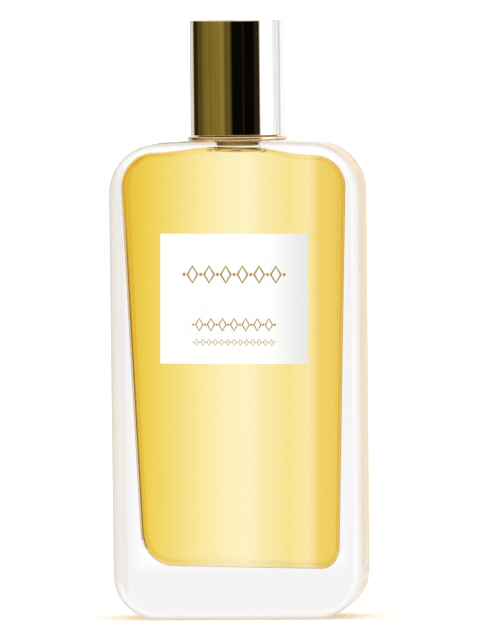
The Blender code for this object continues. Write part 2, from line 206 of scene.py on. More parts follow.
# %% The lights of the studio
BOARDS = (
    # from and to, in degrees to the right of the camera, and the light they give
    (-180.0, -168.0, (0.35, 0.35, 0.32)),
    (-160.0, -140.0, (0.82, 0.88, 0.98)),
    (-134.0, -117.0, (0.032, 0.023, 0.007)),
    (-110.0, -100.0, (0.105, 0.088, 0.026)),
    (-85.0, -60.0, (0.230, 0.192, 0.048)),
    (-44.0, -34.0, (0.280, 0.236, 0.068)),
    (-29.0, -19.0, (0.145, 0.118, 0.033)),
    (-12.0, 12.0, (0.003, 0.0035, 0.002)),
    (15.5, 15.5, (0.016, 0.016, 0.013)),
    (19.0, 42.0, (0.003, 0.0025, 0.002)),
    (45.0, 57.0, (0.026, 0.020, 0.011)),
    (62.0, 92.0, (2.2, 2.4, 3.6)),
    (98.0, 110.0, (1.05, 1.25, 2.00)),
    (122.0, 126.0, (0.94, 1.10, 1.75)),
    (130.0, 130.0, (0.62, 0.74, 1.15)),
    (134.0, 158.0, (1.10, 1.27, 1.95)),
    (164.0, 180.0, (0.98, 0.92, 0.86)),
)
WARM_EDGE = (0.96, 0.94, 0.92)
WARM_ROOM = (0.74, 0.66, 0.58)
RING_DARK = (0.12, 0.09, 0.05)
LOW_RING_DARK = (0.010, 0.008, 0.004)
SHEET_WHITE = (1.04, 1.04, 1.04)
SHEET_STOPS = (
    # how straight back a ray leaves, as a cosine, and the light it meets
    (0.02, WARM_EDGE),
    (0.12, WARM_ROOM),
    (0.50, WARM_ROOM),
    (0.60, RING_DARK),
    (0.64, RING_DARK),
    (0.68, SHEET_WHITE),
)
LOW_STOPS = (
    # the same for rays that leave downwards
    (0.02, WARM_EDGE),
    (0.12, WARM_ROOM),
    (0.34, WARM_ROOM),
    (0.40, LOW_RING_DARK),
    (0.69, LOW_RING_DARK),
    (0.73, SHEET_WHITE),
)
ROOM_WHITE = (1.0, 1.0, 1.0)
EVEN_LIGHT = (1.20, 1.20, 1.20)
# from where to where one answer fades into the next, as cosines
BOARDS_END = (0.36, 0.60)
LOW_RING_SIDES = (0.38, 0.52)
LOW_RING_BEGINS = (-0.33, -0.42)
STEEP_BEGINS = (-0.60, -0.70)
print("boards:", len(BOARDS), "between", BOARDS[0][0], "and", BOARDS[-1][1], "degrees")


# %% Hang the boards and the sheet
def board_stops():
    stops = []
    for start, end, light in BOARDS:
        edges = (start,) if start == end else (start, end)
        stops += [(edge / 360 + 0.5, light) for edge in edges]
    return stops


def boards(x, y, z):
    """What a mirror sees: boards all the way round, and white above and below them."""
    around = x.math("ARCTAN2", 0 - y)
    light = shade(around / (2 * math.pi) + 0.5, board_stops())
    return mix(grows(z.math("ABSOLUTE"), *BOARDS_END), light, ROOM_WHITE)


def sheet(x, y, z):
    """What shows through the glass: the sheet, its dark ring and the room beyond."""
    lower = mix(grows(x.math("ABSOLUTE"), *LOW_RING_SIDES), shade(y, LOW_STOPS), ROOM_WHITE)
    light = mix(grows(z, *LOW_RING_BEGINS), shade(y, SHEET_STOPS), lower)
    return mix(grows(z, *STEEP_BEGINS), light, ROOM_WHITE)


def hang_world():
    world = bpy.data.worlds.new("studio")
    world.use_nodes = True
    world.cycles.sampling_method = "NONE"
    tree = world.node_tree
    canvas = Wire(tree)
    ray = canvas.add("ShaderNodeTexCoord", out="Generated")
    ray = canvas.add("ShaderNodeVectorRotate", {"rotation_type": "Z_AXIS"},
                     {"Vector": ray, "Angle": -VIEW_AZIMUTH})
    x, y, z = canvas.add("ShaderNodeSeparateXYZ", inputs={"Vector": ray}, out=("X", "Y", "Z"))
    seen, mirrored, through, scattered = canvas.add("ShaderNodeLightPath", out=(
        "Is Camera Ray", "Is Glossy Ray", "Is Transmission Ray", "Diffuse Depth"))
    light = mix(mirrored, EVEN_LIGHT, boards(x, y, z))
    light = mix(through, light, sheet(x, y, z))
    light = mix(scattered.math("MINIMUM", 1.0), light, EVEN_LIGHT)
    light = mix(seen, light, ROOM_WHITE)
    tree.links.new(light.socket, tree.nodes["Background"].inputs["Color"])
    bpy.context.scene.world = world
    return len(tree.nodes)


print("studio of", hang_world(), "nodes")

# %% [markdown]
# ## Finishes
#
# Each finish is a short function. All of them start from the same few helpers: where a point
# lies on the object, a noise whose blotches have a stated size there, a relief made from it,
# and a line that hands values or wires to the shader's sockets.


# %% Helpers for finishes
def begin(name):
    """A new material and a wire to build on."""
    mat = bpy.data.materials.new(name)
    mat.use_nodes = True
    return mat, Wire(mat.node_tree)


def position(canvas):
    """Where a point lies on the object: x, y and z."""
    place = canvas.add("ShaderNodeTexCoord", out="Object")
    return canvas.add("ShaderNodeSeparateXYZ", inputs={"Vector": place}, out=("X", "Y", "Z"))


def mottle(canvas, size, detail=3.0, stretch=(1.0, 1.0, 1.0)):
    """Noise from 0 to 1 with blotches about size metres wide, stretched along an axis if wanted."""
    place = canvas.add("ShaderNodeTexCoord", out="Object")
    place = canvas.add("ShaderNodeMapping", inputs={"Vector": place, "Scale": stretch})
    return canvas.add("ShaderNodeTexNoise", inputs={"Vector": place, "Scale": 1 / size, "Detail": detail})


def relief(height, depth):
    """A bump as deep as depth metres."""
    return height.add("ShaderNodeBump", inputs={"Height": height, "Distance": depth}, out="Normal")


def dress(mat, values):
    """Set the shader's sockets to values or wires."""
    shader = mat.node_tree.nodes["Principled BSDF"]
    for name, value in values.items():
        if isinstance(value, Wire):
            mat.node_tree.links.new(value.socket, shader.inputs[name])
        else:
            shader.inputs[name].default_value = value
    return mat


# %% [markdown]
# ## The floor
#
# The floor is a wide sheet of matt white board with a faint grain. It is hidden from mirror rays
# and from rays through the glass, as a lowered table is, so that the cap mirrors the boards, the
# bottle shows the sheet behind it, and the shadow falls on the floor all the same. Its rings are
# finer in the middle, where the bottle stands.

# %% Lay the floor
FLOOR_RINGS = (0.15, 0.6, 3.0, 40.0)
FLOOR_DROP = 0.1 * MM
FLOOR_SIDES = 96
FLOOR_GRAIN = 2.5 * MM
FLOOR_WHITES = ((0.955, 0.955, 0.955), (0.975, 0.975, 0.975))


def floor_board():
    mat, canvas = begin("floor_board")
    colour = mix(mottle(canvas, FLOOR_GRAIN), *FLOOR_WHITES)
    return dress(mat, {"Base Color": colour, "Roughness": 1.0, "Specular IOR Level": 0.0})


def lay_floor():
    bm = bmesh.new()
    rings = []
    for radius in FLOOR_RINGS:
        made = bmesh.ops.create_circle(bm, segments=FLOOR_SIDES, radius=radius)
        rings.append(made["verts"])
    bm.faces.new(rings[0])
    for inner, outer in zip(rings, rings[1:]):
        for k in range(FLOOR_SIDES):
            j = (k + 1) % FLOOR_SIDES
            bm.faces.new((inner[k], outer[k], outer[j], inner[j]))
    bmesh.ops.translate(bm, verts=bm.verts, vec=(0, 0, -FLOOR_DROP))
    bmesh.ops.recalc_face_normals(bm, faces=bm.faces)
    mesh = bpy.data.meshes.new("floor")
    bm.to_mesh(mesh)
    bm.free()
    mesh.materials.append(floor_board())
    floor = bpy.data.objects.new("floor", mesh)
    bpy.context.scene.collection.objects.link(floor)
    floor.visible_glossy = False
    floor.visible_transmission = False
    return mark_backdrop(floor)


lay_floor()
print("floor radius", FLOOR_RINGS[-1], "m")

# %% [markdown]
# Light that goes through the bottle crosses glass, perfume and glass again, and in the corners
# it is thrown back many times before it leaves. So the film lets a ray bounce often. The plain
# Standard view keeps the white of the background pure.


# %% Set the film
def set_film():
    scene = bpy.context.scene
    scene.view_settings.view_transform = "Standard"
    scene.view_settings.look = "None"
    cycles = scene.cycles
    cycles.use_denoising = True
    cycles.max_bounces = 28
    cycles.transmission_bounces = 24
    cycles.glossy_bounces = 10
    cycles.diffuse_bounces = 4
    cycles.sample_clamp_indirect = 8.0
    cycles.blur_glossy = 0.0
    return cycles


print("bounces:", set_film().max_bounces)

# %% [markdown]
# ## Glass
#
# Clear glass bends light by how much slower light is in it than in what it touches. The outside
# touches air, at 1.5. The wall of the hollow touches the perfume, and so does the bore beside
# the pump's plug, at 1.5 over 1.36, so both are almost invisible there. Several finishes on one
# closed mesh say this without modelling a thin air film, which would turn the walls to silver.
#
# The round edges at the front and the back have a third finish. With the full index they gather yellow
# and black streaks, and on the real block they are a soft outline of warm grey, the room seen in them. So
# the rim hardly bends light, and that warm grey is painted on it as a painted reflection: warmer towards
# the foot, darker at the left, and a painted dark outline where it turns away in front. Glass is never
# quite clear: where it is solid, below the hollow and beside it, it is a little grey.

# %% Clear, rim and wetted glass
GLASS_INDEX = 1.5
RIM_INDEX = 1.01
PERFUME_INDEX = 1.36
GLASS_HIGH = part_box("glass_bottle")[1]
CLEAR_TINTS = ((0.990, 0.993, 0.990), (0.998, 0.998, 1.0))
SOLID_GREY = (0.915, 0.905, 0.910)
RIM_TINTS = ((0.950, 0.945, 0.935), (0.965, 0.960, 0.950))
RIM_FOOT_PAINTED_REFLECTION = (0.93, 0.905, 0.885)
RIM_LEFT_PAINTED_REFLECTION = (0.80, 0.77, 0.70)
RIM_PAINTED_OUTLINE = (0.60, 0.52, 0.43)


def see_through(mat, colour, index, **more):
    """A clear, smooth finish that bends light by its index."""
    return dress(mat, {
        "Base Color": colour, "Roughness": 0.0, "IOR": index, "Transmission Weight": 1.0, **more,
    })


def clear_glass():
    """Clear glass, a little grey where it is solid: below the hollow and beside it."""
    mat, canvas = begin("clear_glass")
    x, y, z = position(canvas)
    below = grows(z, 15 * MM, 11 * MM)
    beside = grows(x.math("ABSOLUTE"), 25 * MM, 28 * MM)
    under_shoulder = grows(z, 121 * MM, 116 * MM)
    solid = below.math("MAXIMUM", beside) * under_shoulder
    colour = mix(mottle(canvas, 30 * MM), *CLEAR_TINTS)
    return see_through(mat, mix(solid, colour, SOLID_GREY), GLASS_INDEX)


def rim_glass():
    """The fire-polished edge: it bends light less than a true edge would, and carries a painted
    reflection of the warm room, with a painted dark outline where it turns away in front.
    """
    mat, canvas = begin("rim_glass")
    x, y, z = position(canvas)
    colour = mix(mottle(canvas, 20 * MM), *RIM_TINTS)
    # painted reflection of the warm room: warmer towards the foot, darker at the left
    colour = mix(grows(z, 14 * MM, 1 * MM), colour, RIM_FOOT_PAINTED_REFLECTION)
    colour = mix(grows(x, -29 * MM, -30.5 * MM), colour, RIM_LEFT_PAINTED_REFLECTION)
    # painted dark outline where the edge turns away in front, weaker at the right
    turned_away = grows(GLASS_HIGH.y - y.math("ABSOLUTE"), 0.0, 0.9 * MM)
    in_front = grows(y, 12 * MM, -12 * MM)
    at_right = grows(x, 25 * MM, 31 * MM)
    outline = turned_away * in_front * (1 - 0.5 * at_right)
    return see_through(mat, mix(outline, colour, RIM_PAINTED_OUTLINE), RIM_INDEX)


def wetted_glass():
    """Glass against perfume, with the faint ripple of a blown wall."""
    mat, canvas = begin("wetted_glass")
    ripple = relief(mottle(canvas, 10 * MM, detail=1.0), 0.0008 * MM)
    colour = mix(mottle(canvas, 30 * MM), *CLEAR_TINTS)
    return see_through(mat, colour, GLASS_INDEX / PERFUME_INDEX, Normal=ripple)


glass_finish, rim_finish, wet_finish = clear_glass(), rim_glass(), wetted_glass()
print("wetted wall bends light by", round(GLASS_INDEX / PERFUME_INDEX, 3))

# %% [markdown]
# The perfume bends nothing, because the wetted glass has done that. What it adds is colour, and painted
# light. The light behind a real bottle is uneven, so the liquid looks pale in the middle, has a pale band
# that ends sharply right of it, and is deep yellow at the sides. A ramp paints these colours across the
# hollow along the line of sight of the photograph, so that the front and the back of the liquid agree:
# the pale middle and the pale band are painted light on the perfume's deep yellow. A volume adds a little
# more yellow for every millimetre that the light travels.

# %% Perfume
PERFUME_YELLOW_AND_PAINTED_LIGHT = (
    # share of the way across the hollow, and the light that passes: the perfume's yellow, with painted
    # light in the pale middle and the pale band
    (0.00, (0.88, 0.60, 0.06)),
    (0.07, (0.89, 0.65, 0.09)),
    (0.20, (0.93, 0.75, 0.23)),
    (0.32, (0.97, 0.84, 0.41)),
    (0.44, (0.99, 0.91, 0.61)),
    (0.52, (1.00, 0.93, 0.66)),
    (0.60, (0.97, 0.86, 0.50)),
    (0.71, (0.95, 0.80, 0.34)),
    (0.76, (0.98, 0.83, 0.43)),
    (0.80, (0.97, 0.83, 0.45)),
    (0.845, (0.90, 0.67, 0.17)),
    (0.92, (0.88, 0.64, 0.13)),
    (1.00, (0.85, 0.56, 0.06)),
)
SURFACE_INDEX = 1.001
VOLUME_COLOUR = (1.0, 0.985, 0.90, 1.0)
VOLUME_DENSITY = 84.0
HOLLOW_HALF_WIDTH = 29.2 * MM
SIGHT_SLOPE = math.tan(math.asin(math.sin(VIEW_AZIMUTH) / PERFUME_INDEX))


def perfume_yellow():
    mat, canvas = begin("perfume_yellow")
    x, y, z = position(canvas)
    across = (x + SIGHT_SLOPE * y - math.tan(VIEW_ROLL) * z) / (2 * HOLLOW_HALF_WIDTH) + 0.5
    volume = canvas.add("ShaderNodeVolumeAbsorption",
                        inputs={"Color": VOLUME_COLOUR, "Density": VOLUME_DENSITY})
    mat.node_tree.links.new(volume.socket, mat.node_tree.nodes["Material Output"].inputs["Volume"])
    # the ramp paints light: a pale middle and a pale band on the deep yellow
    return see_through(mat, shade(across, PERFUME_YELLOW_AND_PAINTED_LIGHT), SURFACE_INDEX)


perfume_finish = perfume_yellow()
print("perfume of", len(PERFUME_YELLOW_AND_PAINTED_LIGHT), "shades, sight slope", round(SIGHT_SLOPE, 3))

# %% [markdown]
# The metals are thin bright coats on aluminium. A coat is never one colour: it is a little
# redder where it is thicker, and fine streaks run the way the part was polished. On the cap they
# run up and down, on the collar round it. The streaks are a stretched noise, which would turn to
# speckle on a face that cuts across it, so they fade on faces that look up or down.

# %% Gold, copper and steel
CLOUD_SIZE = 9 * MM
CLOUD_SHARE = 0.4
STREAK_STEP = (0.3, 0.7)
STREAK_ROUGHENS = 0.03
LEVEL_FACE = (0.5, 0.9)


def polished(name, light, deep, roughness, streak, stretch, depth):
    """A bright metal coat with streaks along its polish."""
    mat, canvas = begin(name)
    cloud = mottle(canvas, CLOUD_SIZE, detail=2.0)
    lines = grows(mottle(canvas, streak, detail=2.0, stretch=stretch), *STREAK_STEP)
    normal = canvas.add("ShaderNodeNewGeometry", out="Normal")
    upward = canvas.add("ShaderNodeSeparateXYZ", inputs={"Vector": normal}, out="Z")
    lines = lines + (0.5 - lines) * grows(upward.math("ABSOLUTE"), *LEVEL_FACE)
    return dress(mat, {
        "Base Color": mix(CLOUD_SHARE * cloud + (1 - CLOUD_SHARE) * lines, light, deep),
        "Metallic": 1.0, "Roughness": roughness + STREAK_ROUGHENS * lines,
        "Normal": relief(lines, depth),
    })


cap_finish = polished("cap_gold", (0.96, 0.83, 0.52), (0.70, 0.56, 0.30), roughness=0.02,
                      streak=0.7 * MM, stretch=(1.0, 1.0, 0.005), depth=0.0002 * MM)
button_finish = polished("button_gold", (0.84, 0.66, 0.34), (0.80, 0.61, 0.29), roughness=0.16,
                         streak=0.3 * MM, stretch=(1.0, 1.0, 0.05), depth=0.002 * MM)
collar_finish = polished("collar_copper", (0.90, 0.67, 0.36), (0.80, 0.54, 0.26), roughness=0.18,
                         streak=0.25 * MM, stretch=(0.05, 0.05, 1.0), depth=0.002 * MM)
ferrule_finish = polished("ferrule_gold", (0.80, 0.64, 0.34), (0.74, 0.57, 0.28), roughness=0.2,
                          streak=0.3 * MM, stretch=(0.08, 0.08, 1.0), depth=0.003 * MM)
steel_finish = polished("spring_steel", (0.62, 0.62, 0.64), (0.52, 0.52, 0.55), roughness=0.18,
                        streak=0.2 * MM, stretch=(1.0, 1.0, 0.3), depth=0.002 * MM)
print("metal finishes:", cap_finish.name, button_finish.name, collar_finish.name)

# %% [markdown]
# Moulded plastic takes the grain of its mould: a fine leather of dots a tenth of a millimetre across.
# Natural plastic lets a little light in, so it looks milky. Rubber is the same idea with a coarser grain
# and hardly any shine. The pump's plug is brown, and all that shows of it stands in the neck behind glass
# and perfume: it has painted shade towards its sides, and its foot, which the light reaches through the
# perfume, is made pale with painted light.

# %% Plastics and rubber
HOUSING_LOW, HOUSING_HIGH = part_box("pump_housing")
PLASTIC_CLOUD = 4 * MM
GRAIN_ROUGHENS = 0.12
PLUG_BROWNS = ((0.38, 0.29, 0.16), (0.28, 0.205, 0.10))
PLUG_PAINTED_SIDE_SHADE = (0.17, 0.115, 0.035)
PLUG_PAINTED_FOOT_LIGHT = (0.80, 0.76, 0.62)
TUBE_TINTS = ((0.992, 0.990, 0.985), (1.0, 1.0, 0.998))
TUBE_INDEX = 1.003


def grained(mat, canvas, colour, roughness, grain, depth, sheen):
    """A plastic surface with the grain of its mould."""
    dots = mottle(canvas, grain, detail=2.0)
    return dress(mat, {
        "Base Color": colour, "Roughness": roughness + GRAIN_ROUGHENS * dots,
        "Specular IOR Level": sheen, "Normal": relief(dots, depth),
    })


def moulded(name, light, dark, roughness, grain, depth, sheen=0.5):
    """Moulded plastic or rubber, a little cloudy."""
    mat, canvas = begin(name)
    colour = mix(mottle(canvas, PLASTIC_CLOUD, detail=2.0), light, dark)
    return grained(mat, canvas, colour, roughness, grain, depth, sheen)


def plug_brown():
    """Brown plastic, with painted shade towards the plug's sides and painted light on its wet foot."""
    mat, canvas = begin("pump_brown")
    x, y, z = position(canvas)
    to_side = grows(x.math("ABSOLUTE"), 2 * MM, 5.6 * MM)
    to_foot = grows(z, HOUSING_LOW.z + 0.3 * MM, HOUSING_LOW.z)
    colour = mix(mottle(canvas, PLASTIC_CLOUD, detail=2.0), *PLUG_BROWNS)
    # painted shade towards the sides, painted light on the foot
    colour = mix(to_foot, mix(to_side, colour, PLUG_PAINTED_SIDE_SHADE), PLUG_PAINTED_FOOT_LIGHT)
    return grained(mat, canvas, colour, roughness=0.45, grain=0.12 * MM, depth=0.004 * MM, sheen=0.3)


def tube_clear():
    """Dip tube of a clear plastic chosen to vanish in the perfume."""
    mat, canvas = begin("tube_clear")
    haze = mottle(canvas, 0.5 * MM, detail=2.0, stretch=(1.0, 1.0, 0.1))
    return see_through(mat, mix(haze, *TUBE_TINTS), TUBE_INDEX)


brown_finish, tube_finish = plug_brown(), tube_clear()
milky_finish = moulded("pump_natural", (0.82, 0.82, 0.79), (0.76, 0.76, 0.72),
                       roughness=0.34, grain=0.10 * MM, depth=0.003 * MM)
liner_finish = moulded("liner_white", (0.80, 0.80, 0.78), (0.74, 0.74, 0.72),
                       roughness=0.42, grain=0.10 * MM, depth=0.004 * MM)
black_finish = moulded("nozzle_black", (0.035, 0.035, 0.037), (0.022, 0.022, 0.024),
                       roughness=0.34, grain=0.08 * MM, depth=0.004 * MM)
rubber_finish = moulded("gasket_rubber", (0.045, 0.045, 0.046), (0.028, 0.028, 0.03),
                        roughness=0.72, grain=0.15 * MM, depth=0.01 * MM, sheen=0.3)
print("plastics:", brown_finish.name, milky_finish.name, liner_finish.name, black_finish.name)

# %% [markdown]
# The label is uncoated white paper. Its fibres show as a faint tangle, longer one way than the other, and
# painted shade greys it softly towards the right, away from the light. The ornament on it is hot-stamped
# foil, bright gold with the tooth of the paper pressed through it.

# %% Paper and foil
PAPER_WHITES = ((0.865, 0.865, 0.865), (0.840, 0.840, 0.838))
PAPER_PAINTED_SHADE = (0.70, 0.70, 0.702)
FOIL_GOLDS = ((0.80, 0.54, 0.15), (0.63, 0.38, 0.08))


def label_paper():
    mat, canvas = begin("label_paper")
    fibres = mottle(canvas, 0.35 * MM, detail=4.0, stretch=(0.35, 1.0, 1.0))
    x, y, z = position(canvas)
    colour = mix(mottle(canvas, 5 * MM, detail=2.0), *PAPER_WHITES)
    # painted shade towards the right, away from the light
    colour = mix(grows(x, 8 * MM, 19 * MM), colour, PAPER_PAINTED_SHADE)
    return dress(mat, {
        "Base Color": colour, "Roughness": 0.62 + 0.2 * fibres,
        "Specular IOR Level": 0.2, "Normal": relief(fibres, 0.008 * MM),
    })


def foil_gold():
    mat, canvas = begin("foil_gold")
    tooth = mottle(canvas, 0.30 * MM, detail=3.0)
    return dress(mat, {
        "Base Color": mix(mottle(canvas, 1.6 * MM, detail=2.0), *FOIL_GOLDS), "Metallic": 0.55,
        "Roughness": 0.36 + 0.2 * tooth, "Normal": relief(tooth, 0.01 * MM),
    })


paper_finish, foil_finish = label_paper(), foil_gold()
print("print finishes:", paper_finish.name, foil_finish.name)

# %% [markdown]
# ## Shapes that follow a rule
#
# The block, its hollow, the perfume and the label are the same shape with other sizes: a slab
# with round corners in front view and rounded edges all round. So one Geometry Nodes tree makes
# all four. It starts from a grid and moves each point by a rule: the column says where on the
# front outline the point lies, and the row says how far round the edge. Columns and rows count
# from 0, and the first and last rows shrink to a point, which closes the front and the back.

# %% Helpers for node trees that make shapes
WELD = 0.0005 * MM


def start_tree(name, sizes):
    """A shape tree with one named input for each size, and a material."""
    tree = bpy.data.node_groups.new(name, "GeometryNodeTree")
    tree.interface.new_socket("Shape", in_out="OUTPUT", socket_type="NodeSocketGeometry")
    for label in sizes:
        tree.interface.new_socket(label, in_out="INPUT", socket_type="NodeSocketFloat")
    tree.interface.new_socket("Material", in_out="INPUT", socket_type="NodeSocketMaterial")
    names = (*sizes, "Material")
    return dict(zip(names, Wire(tree).add("NodeGroupInput", out=names)))


def end_tree(shape, material):
    """Make instances real, give the material, and hand the shape out."""
    shape = shape.add("GeometryNodeRealizeInstances", inputs={"Geometry": shape})
    shape = shape.add("GeometryNodeSetMaterial", inputs={"Geometry": shape, "Material": material})
    shape.add("NodeGroupOutput", inputs={0: shape}, out=())
    return shape.tree


def settle(item):
    """Swap an object's mesh for its evaluated one and drop the modifiers."""
    bpy.context.view_layer.update()
    graph = bpy.context.evaluated_depsgraph_get()
    mesh = bpy.data.meshes.new_from_object(item.evaluated_get(graph))
    item.modifiers.clear()
    item.data = mesh
    mesh.name = item.name
    return item


def outward(item):
    """Weld doubles and point every face outwards."""
    bm = bmesh.new()
    bm.from_mesh(item.data)
    bmesh.ops.remove_doubles(bm, verts=bm.verts, dist=WELD)
    bmesh.ops.recalc_face_normals(bm, faces=bm.faces)
    bm.to_mesh(item.data)
    bm.free()
    item.data.shade_smooth()
    return item


def grow(name, tree, values):
    """Run a shape tree on a new object and keep the plain mesh that comes out."""
    item = bpy.data.objects.new(name, bpy.data.meshes.new(name))
    bpy.context.scene.collection.objects.link(item)
    mod = item.modifiers.new("Grow", "NODES")
    mod.node_group = tree
    for socket in tree.interface.items_tree:
        if socket.in_out == "INPUT":
            mod[socket.identifier] = values[socket.name]
    return outward(settle(item))


# %% The slab tree
SLAB_SIZES = (
    "Half Width", "Low", "High", "Half Depth", "Edge Round", "Base Left", "Base Right", "Top Right",
    "Top Left", "Rise", "Rise Flat", "Foot Share", "Lean", "Skew", "Shrink",
)
PLAIN_SLAB = {
    "Rise": 0.0, "Rise Flat": 0.0, "Foot Share": 1.0, "Lean": 0.0, "Skew": 0.0, "Shrink": 0.0,
}
CORNER_STEPS = 14
STRAIGHT_STEPS = 16
EDGE_STEPS = 10
# rows of a half beside the steps of its edge: the pole, two on the face and one on the side
OTHER_ROWS = 4
SUPPORT_SHARE = 0.1
SMALLEST_CORNER = 0.05 * MM


def even_corners(base, top):
    """Corner sizes that are the same on the left and the right."""
    return {"Base Left": base, "Base Right": base, "Top Right": top, "Top Left": top}


def choose(number, values):
    """The value whose place in the list is the number on the wire."""
    total = 0.0
    for k, value in enumerate(values):
        mask = 1 - (number - k).math("ABSOLUTE").math("MINIMUM", 1.0)
        total = mask * value + total
    return total


def slab_tree():
    size = start_tree("slab", SLAB_SIZES)
    canvas = size["Low"]
    block = CORNER_STEPS + 1 + STRAIGHT_STEPS
    columns, rows = 4 * block + 1, 2 * (EDGE_STEPS + OTHER_ROWS)
    grid = canvas.add("GeometryNodeMeshGrid", inputs={
        "Size X": 1.0, "Size Y": 1.0, "Vertices X": columns, "Vertices Y": rows})
    place = canvas.add("GeometryNodeInputPosition")
    u, v = canvas.add("ShaderNodeSeparateXYZ", inputs={"Vector": place}, out=("X", "Y"))
    column = ((u + 0.5) * (columns - 1)).math("ROUND")
    row = ((v + 0.5) * (rows - 1)).math("ROUND")

    quarter = (column / block).math("FLOOR")
    step = column - quarter * block
    turned = step.math("MINIMUM", CORNER_STEPS) / CORNER_STEPS
    along = (step - CORNER_STEPS).math("MAXIMUM", 0.0) / (STRAIGHT_STEPS + 1)
    angle = (quarter + turned) * (math.pi / 2) + math.pi

    from_end = row.math("MINIMUM", (rows - 1) - row)
    opened = from_end.math("MINIMUM", 1.0)
    on_face = 1 - (from_end - 1).math("MAXIMUM", 0.0).math("MINIMUM", 1.0)
    rolled = (from_end - 2).math("MAXIMUM", 0.0).math("MINIMUM", EDGE_STEPS)
    rolled = rolled * (math.pi / 2 / EDGE_STEPS)
    on_side = (from_end - (EDGE_STEPS + 2)).math("MAXIMUM", 0.0)
    edge = size["Edge Round"] - size["Shrink"]
    margin = size["Edge Round"] * SUPPORT_SHARE
    inset = edge * (1 - rolled.math("SINE")) + size["Shrink"] + margin * on_face
    depth = size["Half Depth"] - size["Shrink"] - edge * (1 - rolled.math("COSINE")) - margin * on_side
    y = depth * (row - (rows - 1) / 2).math("SIGN")

    middle = (size["Low"] + size["High"]) * 0.5
    half_height = (size["High"] - size["Low"]) * 0.5

    def corner(number):
        """Radius and centre of the round corner with this number."""
        radii = (size["Base Left"], size["Base Right"], size["Top Right"], size["Top Left"])
        radius = (choose(number, radii) - inset).math("MAXIMUM", SMALLEST_CORNER)
        x = choose(number, (-1.0, 1.0, 1.0, -1.0)) * (size["Half Width"] - inset - radius)
        z = choose(number, (-1.0, -1.0, 1.0, 1.0)) * (half_height - inset - radius)
        return radius, x, z

    here = corner(quarter.math("FLOORED_MODULO", 4.0))
    there = corner((quarter + 1).math("FLOORED_MODULO", 4.0))
    radius, x, z = (a + (b - a) * along for a, b in zip(here, there))
    x = x + radius * angle.math("COSINE")
    z = z + radius * angle.math("SINE")

    crown_end = size["Half Width"] - size["Top Right"].math("MAXIMUM", size["Top Left"])
    crown = grows(x.math("ABSOLUTE"), crown_end, size["Rise Flat"])
    on_top = 1 - (quarter - 2).math("ABSOLUTE").math("MINIMUM", 1.0)
    z = z + size["Rise"] * crown * on_top

    x, z = x * opened, z * opened
    share = z / (2 * half_height) + 0.5
    wide = x * (size["Foot Share"] + (1 - size["Foot Share"]) * share)
    leaned = wide - size["Lean"] * z
    tipped = z + middle - size["Skew"] * x * (2 * share - 1).math("ABSOLUTE")
    moved = canvas.add("ShaderNodeCombineXYZ", inputs={"X": leaned, "Y": y, "Z": tipped})
    shape = canvas.add("GeometryNodeSetPosition", inputs={"Geometry": grid, "Position": moved})
    shape = canvas.add("GeometryNodeMergeByDistance", inputs={"Geometry": shape, "Distance": WELD})
    return end_tree(shape, size["Material"])


slab = slab_tree()
print("slab tree of", len(slab.nodes), "nodes")

# %% [markdown]
# ## Turned parts
#
# Everything on the neck is round, so it is turned: a closed profile of radius and height is
# spun round the upright axis. A sharp edge on a mirror finish looks cut from card, so each
# corner can carry a small rounding, which a short curve fills before the spin.

# %% Turn a profile
TURNED_SIDES = 128
SMALL_SIDES = 64
ROUND_STEPS = 4
LONGEST_ROUNDING = 0.49
SHARP_ANGLE = math.radians(38)
# roundings, from a crisp edge to a soft one
CRISP = 0.1 * MM
EASED = 0.15 * MM
ROUNDED = 0.2 * MM
SOFT = 0.3 * MM


def soften(corners):
    """Points of a closed profile. A corner is (radius, z) or (radius, z, rounding).

    A rounding takes less than half of an edge, so that the one at its other end has room too.
    """
    points = []
    for k, corner in enumerate(corners):
        if len(corner) == 2:
            points.append(corner)
            continue
        here = Vector(corner[:2])
        before = Vector(corners[k - 1][:2]) - here
        after = Vector(corners[(k + 1) % len(corners)][:2]) - here
        start = here + before.normalized() * min(corner[2], before.length * LONGEST_ROUNDING)
        end = here + after.normalized() * min(corner[2], after.length * LONGEST_ROUNDING)
        for step in range(ROUND_STEPS + 1):
            t = step / ROUND_STEPS
            point = start * (1 - t) ** 2 + here * 2 * t * (1 - t) + end * t**2
            points.append((point.x, point.y))
    return points


def as_object(name, bm, material):
    """A smooth-shaded object from a bmesh, with sharp creases kept."""
    mesh = bpy.data.meshes.new(name)
    bm.to_mesh(mesh)
    bm.free()
    mesh.shade_smooth()
    mesh.set_sharp_from_angle(angle=SHARP_ANGLE)
    mesh.materials.append(material)
    item = bpy.data.objects.new(name, mesh)
    bpy.context.scene.collection.objects.link(item)
    return item


def turned(name, corners, material, sides=TURNED_SIDES):
    """Spin a closed profile of (radius, z) points round the Z axis."""
    profile = soften(corners)
    bm = bmesh.new()
    verts = [bm.verts.new((r, 0.0, z)) for r, z in profile]
    edges = []
    for k, vert in enumerate(verts):
        j = (k + 1) % len(verts)
        if profile[k][0] > 0.0 or profile[j][0] > 0.0:
            edges.append(bm.edges.new((vert, verts[j])))
    bmesh.ops.spin(bm, geom=verts + edges, axis=(0, 0, 1), cent=(0, 0, 0),
                   angle=2 * math.pi, steps=sides, use_merge=True)
    bmesh.ops.remove_doubles(bm, verts=bm.verts, dist=WELD)
    bmesh.ops.recalc_face_normals(bm, faces=bm.faces)
    return as_object(name, bm, material)


# %% [markdown]
# Three more helpers end most pieces. One joins or cuts two objects. One keeps flats flat: a
# round edge beside a flat face bends its shading unless the big faces rule the normals. The
# last one hands the finished piece to the body it rides.


